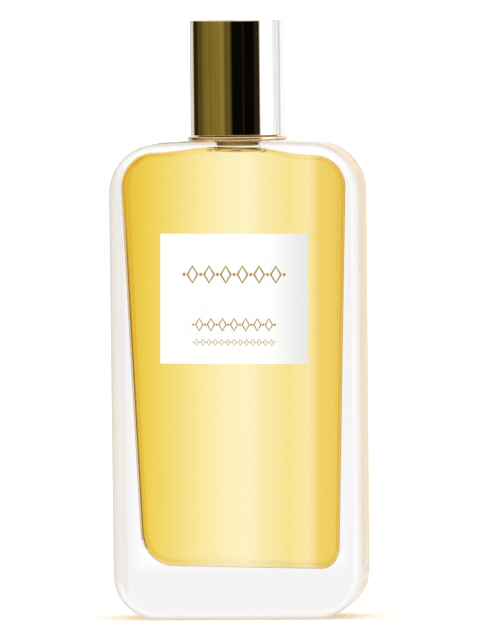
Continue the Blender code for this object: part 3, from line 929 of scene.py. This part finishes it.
# %% Join, cut, even out and hand over
def cut(item, other, operation):
    """Join or cut an object with another, which is then removed."""
    mod = item.modifiers.new(operation.title(), "BOOLEAN")
    mod.operation = operation
    mod.solver = "EXACT"
    mod.object = other
    settle(item)
    bpy.data.objects.remove(other)
    return item


def even_normals(item):
    """Let big flat faces rule the shading."""
    item.data.set_sharp_from_angle(angle=SHARP_ANGLE)
    mod = item.modifiers.new("Even", "WEIGHTED_NORMAL")
    mod.keep_sharp = True
    mod.weight = 50
    return settle(item)


def stand_in(item, body, slot, *nodes):
    """The piece rides a body and stands for these solids; the slot is not used."""
    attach(item, body)
    if nodes:
        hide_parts(*nodes)
    print(item.name, "on", body, "with", len(item.data.polygons), "faces")
    return item


# %% [markdown]
# ## The bottle
#
# The block is grown from the slab tree, the neck is turned and joined on, and the hollow and
# the bore are cut out. The hollow leans and its floor tips, because hot glass sags as it sets.
# The bore's profile has a point at the shoulder, so that a ring of edges divides it there: what
# lies below stands in perfume beside the plug. After the cuts each face gets its finish, and the
# flats are given even normals: glass shows every fault of its shading as a bent picture.

# %% Sizes of the glass
HALF_WIDTH, HALF_DEPTH, LIP_Z = GLASS_HIGH
SHOULDER_Z = LIP_Z - 6.2 * MM
SHOULDER_DROP = 0.3 * MM
SHOULDER_FLAT = 13.4 * MM
TOP_CORNER = 12.6 * MM
BASE_CORNER = 11.4 * MM
BLOCK_EDGE = 2.0 * MM
SIDE_DRAFT = 0.2 * MM
HOLLOW = {
    "Half Width": HOLLOW_HALF_WIDTH, "Low": 12.9 * MM, "High": 118.9 * MM, "Half Depth": 10.0 * MM,
    "Edge Round": 4.0 * MM, "Base Left": 9.0 * MM, "Base Right": 5.5 * MM, "Top Right": 8.5 * MM,
    "Top Left": 9.5 * MM, "Rise": 1.5 * MM, "Rise Flat": 6.2 * MM, "Foot Share": 25.4 / 29.2,
    "Lean": 0.0098, "Skew": 0.022, "Shrink": 0.0,
}
BORE_RADIUS = 6.2 * MM
BORE_LOW = HOLLOW["High"] - 2 * MM
BORE_HIGH = LIP_Z + 1 * MM
NECK_LOW = SHOULDER_Z - 1.5 * MM
NECK_ROOT_RADIUS = 8.4 * MM
NECK_RADIUS = 7.9 * MM
BEAD_RADIUS = 9.0 * MM
BEAD_HEIGHT = 3.6 * MM
print("block", round(2 * HALF_WIDTH / MM, 2), "by", round(2 * HALF_DEPTH / MM, 2), "mm, lip at",
      round(LIP_Z / MM, 2))

# %% Blow the bottle
RIM_FLATTEST = 0.999
CLEAR_FACE, WET_FACE, RIM_FACE = 0, 1, 2


def sort_faces(item):
    """Walls that face the hollow are wetted, round edges are the rim, the rest is clear."""
    middle = Vector((0, 0, (HOLLOW["Low"] + HOLLOW["High"]) / 2))
    wetted = 0
    for face in item.data.polygons:
        inside = face.normal.dot(middle - face.center) > 0 and face.center.z < SHOULDER_Z
        rounded = abs(face.center.y) > HALF_DEPTH - BLOCK_EDGE and abs(face.normal.y) < RIM_FLATTEST
        face.material_index = WET_FACE if inside else RIM_FACE if rounded else CLEAR_FACE
        wetted += inside
    return wetted


def turn_neck():
    bead_foot = LIP_Z - BEAD_HEIGHT
    return turned("neck", [
        (0.0, NECK_LOW),
        (NECK_ROOT_RADIUS, NECK_LOW),
        (NECK_ROOT_RADIUS, SHOULDER_Z + 0.1 * MM),
        (NECK_RADIUS, SHOULDER_Z + 0.6 * MM, 0.4 * MM),
        (NECK_RADIUS, bead_foot, SOFT),
        (BEAD_RADIUS, bead_foot + 0.5 * MM, 0.4 * MM),
        (BEAD_RADIUS, LIP_Z - 0.2 * MM, 0.5 * MM),
        (BEAD_RADIUS - 0.5 * MM, LIP_Z, 0.4 * MM),
        (0.0, LIP_Z),
    ], glass_finish)


def turn_bore():
    return turned("bore", [
        (0.0, BORE_LOW), (BORE_RADIUS, BORE_LOW), (BORE_RADIUS, SHOULDER_Z),
        (BORE_RADIUS, BORE_HIGH), (0.0, BORE_HIGH),
    ], glass_finish)


def blow_bottle():
    block = grow("glass_block", slab, {
        **PLAIN_SLAB, **even_corners(BASE_CORNER, TOP_CORNER),
        "Half Width": HALF_WIDTH, "Low": 0.0, "High": SHOULDER_Z - SHOULDER_DROP,
        "Half Depth": HALF_DEPTH, "Edge Round": BLOCK_EDGE, "Rise": SHOULDER_DROP,
        "Rise Flat": SHOULDER_FLAT, "Foot Share": 1 - SIDE_DRAFT / HALF_WIDTH,
        "Material": glass_finish,
    })
    cut(block, turn_neck(), "UNION")
    cut(block, grow("hollow", slab, {**HOLLOW, "Material": wet_finish}), "DIFFERENCE")
    cut(block, turn_bore(), "DIFFERENCE")
    block.data.materials.clear()
    for finish in (glass_finish, wet_finish, rim_finish):
        block.data.materials.append(finish)
    print("wetted faces:", sort_faces(block), "of", len(block.data.polygons))
    even_normals(block)
    return stand_in(block, "bottle", "clear_glass", "glass_bottle")


blow_bottle()

# %% [markdown]
# The perfume is the hollow again, two hundredths of a millimetre smaller, so that the light
# crosses a film too thin to see.

# %% Pour the perfume
PERFUME_FILM = 0.02 * MM


def pour_perfume():
    perfume = grow("perfume_fill", slab, {**HOLLOW, "Shrink": PERFUME_FILM, "Material": perfume_finish})
    even_normals(perfume)
    return stand_in(perfume, "bottle", "perfume", "perfume")


pour_perfume()

# %% [markdown]
# ## The label
#
# A square of paper a seventh of a millimetre thick, stuck to the front by hand: it sits level in
# the picture while the bottle leans a little, so it is turned by that much. It is the slab tree
# once more, with corners hardly rounded.

# %% Cut and stick the label
LABEL_LOW, LABEL_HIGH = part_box("label")
LABEL_CENTRE = (LABEL_LOW + LABEL_HIGH) / 2
LABEL_HALF = (LABEL_HIGH - LABEL_LOW) / 2
LABEL_CORNER = 0.25 * MM
LABEL_EDGE_SHARE = 0.6
FOIL_HEIGHT = 0.012 * MM


def stick(item):
    """Turn a piece made round the label's middle and move it to the front of the glass."""
    place = Matrix.Translation(LABEL_CENTRE) @ Matrix.Rotation(VIEW_ROLL, 4, "Y")
    item.data.transform(place)
    return item


def cut_label():
    half_depth = LABEL_HALF.y - FOIL_HEIGHT / 2
    label = grow("label_sheet", slab, {
        **PLAIN_SLAB, **even_corners(LABEL_CORNER, LABEL_CORNER),
        "Half Width": LABEL_HALF.x, "Low": -LABEL_HALF.z, "High": LABEL_HALF.z,
        "Half Depth": half_depth, "Edge Round": half_depth * LABEL_EDGE_SHARE,
        "Material": paper_finish,
    })
    label.data.transform(Matrix.Translation((0, FOIL_HEIGHT / 2, 0)))
    even_normals(stick(label))
    return stand_in(label, "bottle", "label_paper", "label")


cut_label()

# %% [markdown]
# ## The ornament
#
# Three rows of gold foil give the label its weight: open lozenges with dots between them, as on
# an old bookbinding. What repeats is made by Geometry Nodes. A line of points carries the
# lozenges, a second line half a step on carries the dots, and the sizes are inputs, so one tree
# stamps all three rows.

# %% The garland tree
GARLAND_SIZES = ("Count", "Width", "Height", "Lozenge Width", "Stroke", "Dot", "Thickness", "Up")
LOZENGE_CORNERS = 4
DOT_SIDES = 16


def garland_tree():
    size = start_tree("garland", GARLAND_SIZES)
    canvas = size["Count"]
    half = size["Width"] * 0.5
    pitch = size["Width"] / size["Count"]

    def row(count, first):
        """Points along X, a pitch apart."""
        start = canvas.add("ShaderNodeCombineXYZ", inputs={"X": first, "Z": size["Up"]})
        offset = canvas.add("ShaderNodeCombineXYZ", inputs={"X": pitch})
        return canvas.add("GeometryNodeMeshLine", inputs={
            "Count": count, "Start Location": start, "Offset": offset})

    ring = canvas.add("GeometryNodeCurvePrimitiveCircle", inputs={
        "Resolution": LOZENGE_CORNERS, "Radius": 0.5})
    upright = canvas.add("GeometryNodeTransform", inputs={
        "Geometry": ring, "Rotation": (math.pi / 2, 0.0, 0.0),
        "Scale": canvas.add("ShaderNodeCombineXYZ", inputs={
            "X": size["Lozenge Width"], "Y": size["Height"], "Z": 1.0})})
    nib = canvas.add("GeometryNodeCurvePrimitiveQuadrilateral", inputs={
        "Width": size["Stroke"], "Height": size["Thickness"]})
    lozenge = canvas.add("GeometryNodeCurveToMesh", inputs={"Curve": upright, "Profile Curve": nib})
    dot = canvas.add("GeometryNodeMeshCylinder", inputs={
        "Vertices": DOT_SIDES, "Radius": size["Dot"] * 0.5, "Depth": size["Thickness"]}, out="Mesh")
    dot = canvas.add("GeometryNodeTransform", inputs={
        "Geometry": dot, "Rotation": (math.pi / 2, 0.0, 0.0)})
    lozenges = canvas.add("GeometryNodeInstanceOnPoints", inputs={
        "Points": row(size["Count"], pitch * 0.5 - half), "Instance": lozenge})
    dots = canvas.add("GeometryNodeInstanceOnPoints", inputs={
        "Points": row(size["Count"] + 1, 0 - half), "Instance": dot})
    row_shape = canvas.add("GeometryNodeJoinGeometry", inputs={0: [dots, lozenges]})
    return end_tree(row_shape, size["Material"])


garland = garland_tree()
print("garland tree of", len(garland.nodes), "nodes")

# %% Stamp the rows
ROWS = (
    # height above the label's middle, length, height of a lozenge, and how many
    (6.2 * MM, 25.6 * MM, 4.2 * MM, 6.0),
    (-6.6 * MM, 20.8 * MM, 3.1 * MM, 7.0),
    (-11.1 * MM, 20.8 * MM, 1.6 * MM, 13.0),
)
LOZENGE_SHARE = 0.62
STROKE_SHARE = 0.13
DOT_SHARE = 0.2


def stamp_rows():
    front = LABEL_LOW.y - LABEL_CENTRE.y
    for k, (up, width, height, count) in enumerate(ROWS):
        row = grow(f"label_foil_{k + 1}", garland, {
            "Count": count, "Width": width, "Height": height,
            "Lozenge Width": LOZENGE_SHARE * min(width / count, height),
            "Stroke": STROKE_SHARE * height, "Dot": DOT_SHARE * height,
            "Thickness": FOIL_HEIGHT, "Up": up, "Material": foil_finish,
        })
        row.data.transform(Matrix.Translation((0, front + FOIL_HEIGHT / 2, 0)))
        row.data.set_sharp_from_angle(angle=SHARP_ANGLE)
        stand_in(stick(row), "bottle", "label_paper")


stamp_rows()

# %% [markdown]
# ## Rings of ribs and the spring
#
# Small upright ribs stand in a ring on three pieces: the grip inside the cap, the crimp marks on
# the ferrule and the keys on the pump's plug. One tree sets them out on a circle. The spring is
# a wire swept along a spiral, a rule that Geometry Nodes has ready made.

# %% The rib tree and the spring tree
RIB_SIZES = ("Count", "Ring Radius", "Rib Radius", "Low", "High")
RIB_SIDES = 10
SPRING_SIZES = ("Turns", "Radius", "Wire Radius", "Low", "High")
SPRING_STEPS = 28
WIRE_SIDES = 12


def rib_tree():
    size = start_tree("ribs", RIB_SIZES)
    canvas = size["Low"]
    points = canvas.add("GeometryNodeMeshCircle", inputs={
        "Vertices": size["Count"], "Radius": size["Ring Radius"]})
    rib = canvas.add("GeometryNodeMeshCylinder", inputs={
        "Vertices": RIB_SIDES, "Radius": size["Rib Radius"],
        "Depth": size["High"] - size["Low"]}, out="Mesh")
    lift = canvas.add("ShaderNodeCombineXYZ", inputs={"Z": (size["High"] + size["Low"]) * 0.5})
    points = canvas.add("GeometryNodeTransform", inputs={"Geometry": points, "Translation": lift})
    ribs = canvas.add("GeometryNodeInstanceOnPoints", inputs={"Points": points, "Instance": rib})
    return end_tree(ribs, size["Material"])


def spring_tree():
    size = start_tree("spring", SPRING_SIZES)
    canvas = size["Low"]
    coil = canvas.add("GeometryNodeCurveSpiral", inputs={
        "Resolution": SPRING_STEPS, "Rotations": size["Turns"], "Start Radius": size["Radius"],
        "End Radius": size["Radius"], "Height": size["High"] - size["Low"]})
    wire = canvas.add("GeometryNodeCurvePrimitiveCircle", inputs={
        "Resolution": WIRE_SIDES, "Radius": size["Wire Radius"]})
    swept = canvas.add("GeometryNodeCurveToMesh", inputs={
        "Curve": coil, "Profile Curve": wire, "Fill Caps": True})
    lift = canvas.add("ShaderNodeCombineXYZ", inputs={"Z": size["Low"]})
    swept = canvas.add("GeometryNodeTransform", inputs={"Geometry": swept, "Translation": lift})
    return end_tree(swept, size["Material"])


def ring_of_ribs(name, material, count, ring, rib, low, high):
    item = grow(name, ribs, {
        "Count": float(count), "Ring Radius": ring, "Rib Radius": rib, "Low": low, "High": high,
        "Material": material,
    })
    item.data.set_sharp_from_angle(angle=SHARP_ANGLE)
    return item


ribs, spring = rib_tree(), spring_tree()
print("rib tree of", len(ribs.nodes), "nodes, spring tree of", len(spring.nodes))

# %% [markdown]
# ## The pump
#
# The pump stands high in the neck, so no chamber hangs in the perfume. Through the shoulder only
# the end of its brown plug shows. The housing holds a ball, a spring, a piston on a hollow stem
# and a closure ring. Each is turned from the heights of its measured solid. First come the
# pieces that stay still: the gasket on the lip, the housing with keys round its plug, and the
# ring that closes it.

# %% Gasket, housing and closure
FIT_GAP = 0.15 * MM
SEAT_GAP = 0.3 * MM
GASKET_LOW, GASKET_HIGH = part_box("neck_gasket")
TUBE_LOW, TUBE_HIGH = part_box("dip_tube")
PLUG_RADIUS = 5.9 * MM
FLANGE_RADIUS = HOUSING_HIGH.x
FLANGE_LOW = GASKET_HIGH.z + FIT_GAP
FLANGE_HIGH = FLANGE_LOW + 1.0 * MM
BARREL_RADIUS = 4.3 * MM
CHAMBER_RADIUS = 3.1 * MM
CHAMBER_FLOOR_Z = 123.4 * MM
SOCKET_ROOF_Z = TUBE_HIGH.z + FIT_GAP
INLET_RADIUS = 0.6 * MM
TUBE_RADIUS = TUBE_HIGH.x


def fit_gasket():
    inner = PLUG_RADIUS + FIT_GAP
    gasket = turned("gasket_ring", [
        (inner, GASKET_LOW.z, EASED), (GASKET_HIGH.x, GASKET_LOW.z, EASED),
        (GASKET_HIGH.x, GASKET_HIGH.z, EASED), (inner, GASKET_HIGH.z, EASED),
    ], rubber_finish)
    return stand_in(gasket, "bottle", "gasket_rubber", "neck_gasket")


def fit_housing():
    socket = TUBE_RADIUS + FIT_GAP
    housing = turned("housing_body", [
        (socket, HOUSING_LOW.z, CRISP),
        (PLUG_RADIUS, HOUSING_LOW.z, 0.35 * MM),
        (PLUG_RADIUS, FLANGE_LOW, CRISP),
        (FLANGE_RADIUS, FLANGE_LOW, CRISP),
        (FLANGE_RADIUS, FLANGE_HIGH, EASED),
        (BARREL_RADIUS, FLANGE_HIGH, ROUNDED),
        (BARREL_RADIUS, HOUSING_HIGH.z, CRISP),
        (CHAMBER_RADIUS, HOUSING_HIGH.z, CRISP),
        (CHAMBER_RADIUS, CHAMBER_FLOOR_Z, ROUNDED),
        (INLET_RADIUS, CHAMBER_FLOOR_Z, CRISP),
        (INLET_RADIUS, SOCKET_ROOF_Z),
        (socket, SOCKET_ROOF_Z),
    ], brown_finish, SMALL_SIDES)
    stand_in(housing, "bottle", "pump_brown", "pump_housing")
    keys = ring_of_ribs("plug_keys", brown_finish, count=20, ring=PLUG_RADIUS - 0.1 * MM,
                        rib=0.22 * MM, low=HOUSING_LOW.z + 0.5 * MM, high=FLANGE_LOW - 1.5 * MM)
    return stand_in(keys, "bottle", "pump_brown")


def fit_closure():
    low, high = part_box("pump_closure")
    hole = 2.0 * MM
    plug = CHAMBER_RADIUS - FIT_GAP
    seat = high.z - 0.6 * MM
    closure = turned("closure_ring", [
        (hole, low.z, CRISP), (plug, low.z, EASED), (plug, seat), (high.x, seat, CRISP),
        (high.x, high.z, EASED), (hole, high.z, EASED),
    ], milky_finish, SMALL_SIDES)
    return stand_in(closure, "bottle", "pump_natural", "pump_closure")


fit_gasket()
fit_housing()
fit_closure()

# %% [markdown]
# The ball drops on the inlet between strokes, and the spring lifts the stem. When the stem goes down, the
# spring has to get shorter, to about half of its height, and not slide.

# %% Ball and spring
SPRING_TURNS = 4.5
SPRING_RADIUS = 2.5 * MM
SPRING_WIRE = 0.225 * MM


def fit_ball():
    low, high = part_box("check_ball")
    bm = bmesh.new()
    bmesh.ops.create_icosphere(bm, subdivisions=4, radius=(high.z - low.z) / 2,
                               matrix=Matrix.Translation((low + high) / 2))
    ball = as_object("valve_ball", bm, steel_finish)
    return stand_in(ball, "bottle", "pump_steel", "check_ball")


def fit_spring():
    low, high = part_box("return_spring")
    coil = grow("spring_coil", spring, {
        "Turns": SPRING_TURNS, "Radius": SPRING_RADIUS, "Wire Radius": SPRING_WIRE,
        "Low": low.z + SPRING_WIRE, "High": high.z - SPRING_WIRE, "Material": steel_finish,
    })
    stand_in(coil, "bottle", "pump_steel", "return_spring")
    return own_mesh(coil)


fit_ball()
fit_spring()

# %% [markdown]
# The stem is a tube with a foot, and the piston round it is an hourglass whose two lips wipe the
# chamber. Both ride the moving body. The dip tube hangs from the housing's socket.

# %% Stem, piston and dip tube
STEM_RADIUS = 1.7 * MM
STEM_BORE = 0.8 * MM
STEM_FOOT = 0.7 * MM
PISTON_LIP = 0.8 * MM
PISTON_WAIST = 0.35 * MM
PISTON_SLOPE = 0.2 * MM
TUBE_BORE = 0.6 * MM


def fit_stem():
    low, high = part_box("stem")
    foot_top = low.z + STEM_FOOT
    stem = turned("stem_tube", [
        (STEM_BORE, low.z, CRISP), (high.x, low.z, EASED), (high.x, foot_top, EASED),
        (STEM_RADIUS, foot_top, EASED), (STEM_RADIUS, high.z, ROUNDED), (STEM_BORE, high.z, EASED),
    ], milky_finish, SMALL_SIDES)
    return stand_in(stem, "pump_stem", "pump_natural", "stem")


def fit_piston():
    low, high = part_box("piston")
    inner, outer = STEM_RADIUS + FIT_GAP, high.x
    waist = outer - PISTON_WAIST
    lip_low, lip_high = low.z + PISTON_LIP, high.z - PISTON_LIP
    piston = turned("piston_seal", [
        (inner, low.z, CRISP), (outer, low.z, 0.12 * MM), (outer, lip_low, CRISP),
        (waist, lip_low + PISTON_SLOPE, CRISP), (waist, lip_high - PISTON_SLOPE, CRISP),
        (outer, lip_high, CRISP), (outer, high.z, 0.12 * MM), (inner, high.z, CRISP),
    ], milky_finish, SMALL_SIDES)
    return stand_in(piston, "pump_stem", "pump_natural", "piston")


def fit_tube():
    tube = turned("tube_straw", [
        (TUBE_BORE, TUBE_LOW.z, CRISP), (TUBE_RADIUS, TUBE_LOW.z, CRISP),
        (TUBE_RADIUS, TUBE_HIGH.z), (TUBE_BORE, TUBE_HIGH.z),
    ], tube_finish, SMALL_SIDES)
    return stand_in(tube, "bottle", "tube_clear", "dip_tube")


fit_stem()
fit_piston()
fit_tube()

# %% [markdown]
# ## Ferrule and collar
#
# The ferrule is a drawn cup rolled in under the glass bead, with the marks of the crimping jaws
# round its foot. The collar over it is what shows: a flange on the shoulder and a sleeve that
# the cap grips. Its rim is fully round, so that it catches the light above and below as a
# thin bright line.

# %% Crimp the ferrule, press on the collar
FERRULE_LOW, FERRULE_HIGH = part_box("crimp_ferrule")
FERRULE_WALL = 0.4 * MM
ROLL_HEIGHT = 0.5 * MM
COLLAR_LOW, COLLAR_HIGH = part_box("collar")
COLLAR_FLANGE = 1.0 * MM
COLLAR_LIP = 0.45 * MM
COLLAR_RIM_ROUND = 0.48 * MM
COLLAR_HOLE = 8.4 * MM
SLEEVE_RADIUS = 10.15 * MM
SLEEVE_INNER = 9.7 * MM


def crimp_ferrule():
    inner, outer = BEAD_RADIUS + FIT_GAP, FERRULE_HIGH.x
    roof = FERRULE_HIGH.z - FERRULE_WALL
    roll_top = FERRULE_LOW.z + ROLL_HEIGHT
    roll_inner = NECK_RADIUS + SEAT_GAP
    hole = BARREL_RADIUS + SEAT_GAP
    ferrule = turned("ferrule_cup", [
        (roll_inner, FERRULE_LOW.z, ROUNDED), (outer, FERRULE_LOW.z, SOFT),
        (outer, FERRULE_HIGH.z, 0.5 * MM), (hole, FERRULE_HIGH.z, CRISP), (hole, roof, CRISP),
        (inner, roof, ROUNDED), (inner, roll_top, CRISP), (roll_inner, roll_top, CRISP),
    ], ferrule_finish)
    stand_in(ferrule, "bottle", "ferrule_gold", "crimp_ferrule")
    marks = ring_of_ribs("crimp_marks", ferrule_finish, count=24, ring=outer - 0.1 * MM,
                         rib=0.2 * MM, low=FERRULE_LOW.z + 0.3 * MM, high=FERRULE_LOW.z + 2.4 * MM)
    return stand_in(marks, "bottle", "ferrule_gold")


def press_collar():
    flange_top = COLLAR_LOW.z + COLLAR_FLANGE
    lip_low = COLLAR_HIGH.z - COLLAR_LIP
    collar = turned("collar_ring", [
        (SLEEVE_INNER, COLLAR_LOW.z, CRISP),
        (COLLAR_HIGH.x, COLLAR_LOW.z, COLLAR_RIM_ROUND),
        (COLLAR_HIGH.x, flange_top, COLLAR_RIM_ROUND),
        (SLEEVE_RADIUS, flange_top, ROUNDED),
        (SLEEVE_RADIUS, COLLAR_HIGH.z, SOFT),
        (COLLAR_HOLE, COLLAR_HIGH.z, CRISP),
        (COLLAR_HOLE, lip_low, CRISP),
        (SLEEVE_INNER, lip_low, ROUNDED),
    ], collar_finish)
    return stand_in(collar, "bottle", "collar_gold", "collar")


crimp_ferrule()
press_collar()

# %% [markdown]
# ## The spray button
#
# A small gold thimble with a dished top for the finger. A pocket and a channel are drilled from
# the front, and a black nozzle sits in the pocket with a dish round its hole. The drilling is a
# boolean cut, because that is how the moulding tool makes it too: a pin drawn out sideways.

# %% Mould the button and its nozzle
BUTTON_LOW, BUTTON_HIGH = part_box("spray_button")
NOZZLE_LOW, NOZZLE_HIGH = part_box("nozzle_insert")
BUTTON_RADIUS = BUTTON_HIGH.x
BUTTON_CROWN = 1.4 * MM
SPRAY_Z = (NOZZLE_LOW.z + NOZZLE_HIGH.z) / 2
NOZZLE_RADIUS = NOZZLE_HIGH.x
NOZZLE_HOLE = 0.3 * MM
CHANNEL_RADIUS = 0.7 * MM
DISH_DEPTH = 0.8 * MM
DISH_STEPS = 10


def finger_dish():
    """The dished top, from its edge to the middle."""
    points = []
    for k in range(DISH_STEPS + 1):
        share = 1 - k / DISH_STEPS
        drop = DISH_DEPTH * (1 - share**2) ** 1.5
        points.append(((BUTTON_RADIUS - BUTTON_CROWN) * share, BUTTON_HIGH.z - drop))
    return points


def drill(name, radius, start_y, end_y, z):
    """A round cutter along Y."""
    bm = bmesh.new()
    place = Matrix.Translation((0, (start_y + end_y) / 2, z)) @ Matrix.Rotation(math.pi / 2, 4, "X")
    bmesh.ops.create_cone(bm, cap_ends=True, segments=SMALL_SIDES, radius1=radius, radius2=radius,
                          depth=abs(end_y - start_y), matrix=place)
    return as_object(name, bm, button_finish)


def mould_button():
    skirt, roof = 5.6 * MM, 139.6 * MM
    socket, socket_roof = 1.85 * MM, 141.55 * MM
    room, room_top = 1.2 * MM, 143.9 * MM
    button = turned("button_thimble", [
        (skirt, BUTTON_LOW.z, ROUNDED),
        (BUTTON_RADIUS, BUTTON_LOW.z, 0.25 * MM),
        (BUTTON_RADIUS, BUTTON_HIGH.z, BUTTON_CROWN),
        *finger_dish(),
        (0.0, room_top), (room, room_top), (room, socket_roof), (socket, socket_roof),
        (socket, roof, CRISP), (skirt, roof, ROUNDED),
    ], button_finish)
    outside = -BUTTON_RADIUS - 1 * MM
    pocket = drill("pocket", NOZZLE_RADIUS + FIT_GAP, outside, NOZZLE_HIGH.y + FIT_GAP, SPRAY_Z)
    channel = drill("channel", CHANNEL_RADIUS, outside, -room / 2, SPRAY_Z)
    cut(button, pocket, "DIFFERENCE")
    cut(button, channel, "DIFFERENCE")
    even_normals(button)
    return stand_in(button, "button", "button_gold", "spray_button")


def turn_nozzle():
    thick = NOZZLE_HIGH.y - NOZZLE_LOW.y
    dish = 1.3 * MM
    nozzle = turned("nozzle_disc", [
        (NOZZLE_HOLE, 0.0), (NOZZLE_RADIUS, 0.0), (NOZZLE_RADIUS, thick, EASED),
        (dish, thick, CRISP), (dish * 0.7, thick * 0.62, ROUNDED), (NOZZLE_HOLE, thick / 2, 0.05 * MM),
    ], black_finish, SMALL_SIDES)
    place = Matrix.Translation((0, NOZZLE_HIGH.y, SPRAY_Z)) @ Matrix.Rotation(math.pi / 2, 4, "X")
    nozzle.data.transform(place)
    return stand_in(nozzle, "button", "nozzle_black", "nozzle_insert")


mould_button()
turn_nozzle()

# %% [markdown]
# ## The cap
#
# A drawn shell of thin metal, polished after it is plated, with a plastic liner inside. The
# shell's corner is tight but not sharp. It is turned with many sides, because a mirror shows
# every facet as a kink in a stripe.

# %% Draw the cap and its liner
SHELL_LOW, SHELL_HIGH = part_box("cap_shell")
SHELL_WALL = 0.6 * MM
LINER_LOW, LINER_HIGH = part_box("cap_liner")
LINER_WALL = 0.8 * MM
LINER_ROOF = 1.0 * MM
CAP_SIDES = 256


def draw_cap():
    inner = SHELL_HIGH.x - SHELL_WALL
    roof = SHELL_HIGH.z - SHELL_WALL
    shell = turned("cap_mirror", [
        (inner, SHELL_LOW.z, CRISP),
        (SHELL_HIGH.x, SHELL_LOW.z, 0.18 * MM),
        (SHELL_HIGH.x, SHELL_HIGH.z, 0.25 * MM),
        (0.0, SHELL_HIGH.z),
        (0.0, roof),
        (inner, roof, SOFT),
    ], cap_finish, CAP_SIDES)
    even_normals(shell)
    return stand_in(shell, "cap", "cap_gold", "cap_shell")


def fit_liner():
    outer = LINER_HIGH.x
    inner = outer - LINER_WALL
    roof = LINER_HIGH.z - LINER_ROOF
    liner = turned("liner_cup", [
        (inner, LINER_LOW.z, ROUNDED), (outer, LINER_LOW.z, ROUNDED), (outer, LINER_HIGH.z, SOFT),
        (0.0, LINER_HIGH.z), (0.0, roof), (inner, roof, 0.5 * MM),
    ], liner_finish)
    stand_in(liner, "cap", "liner_white", "cap_liner")
    grip = ring_of_ribs("liner_ribs", liner_finish, count=24, ring=inner + 0.12 * MM,
                        rib=0.25 * MM, low=LINER_LOW.z + 0.6 * MM, high=roof + 0.1 * MM)
    return stand_in(grip, "cap", "liner_white")


draw_cap()
fit_liner()
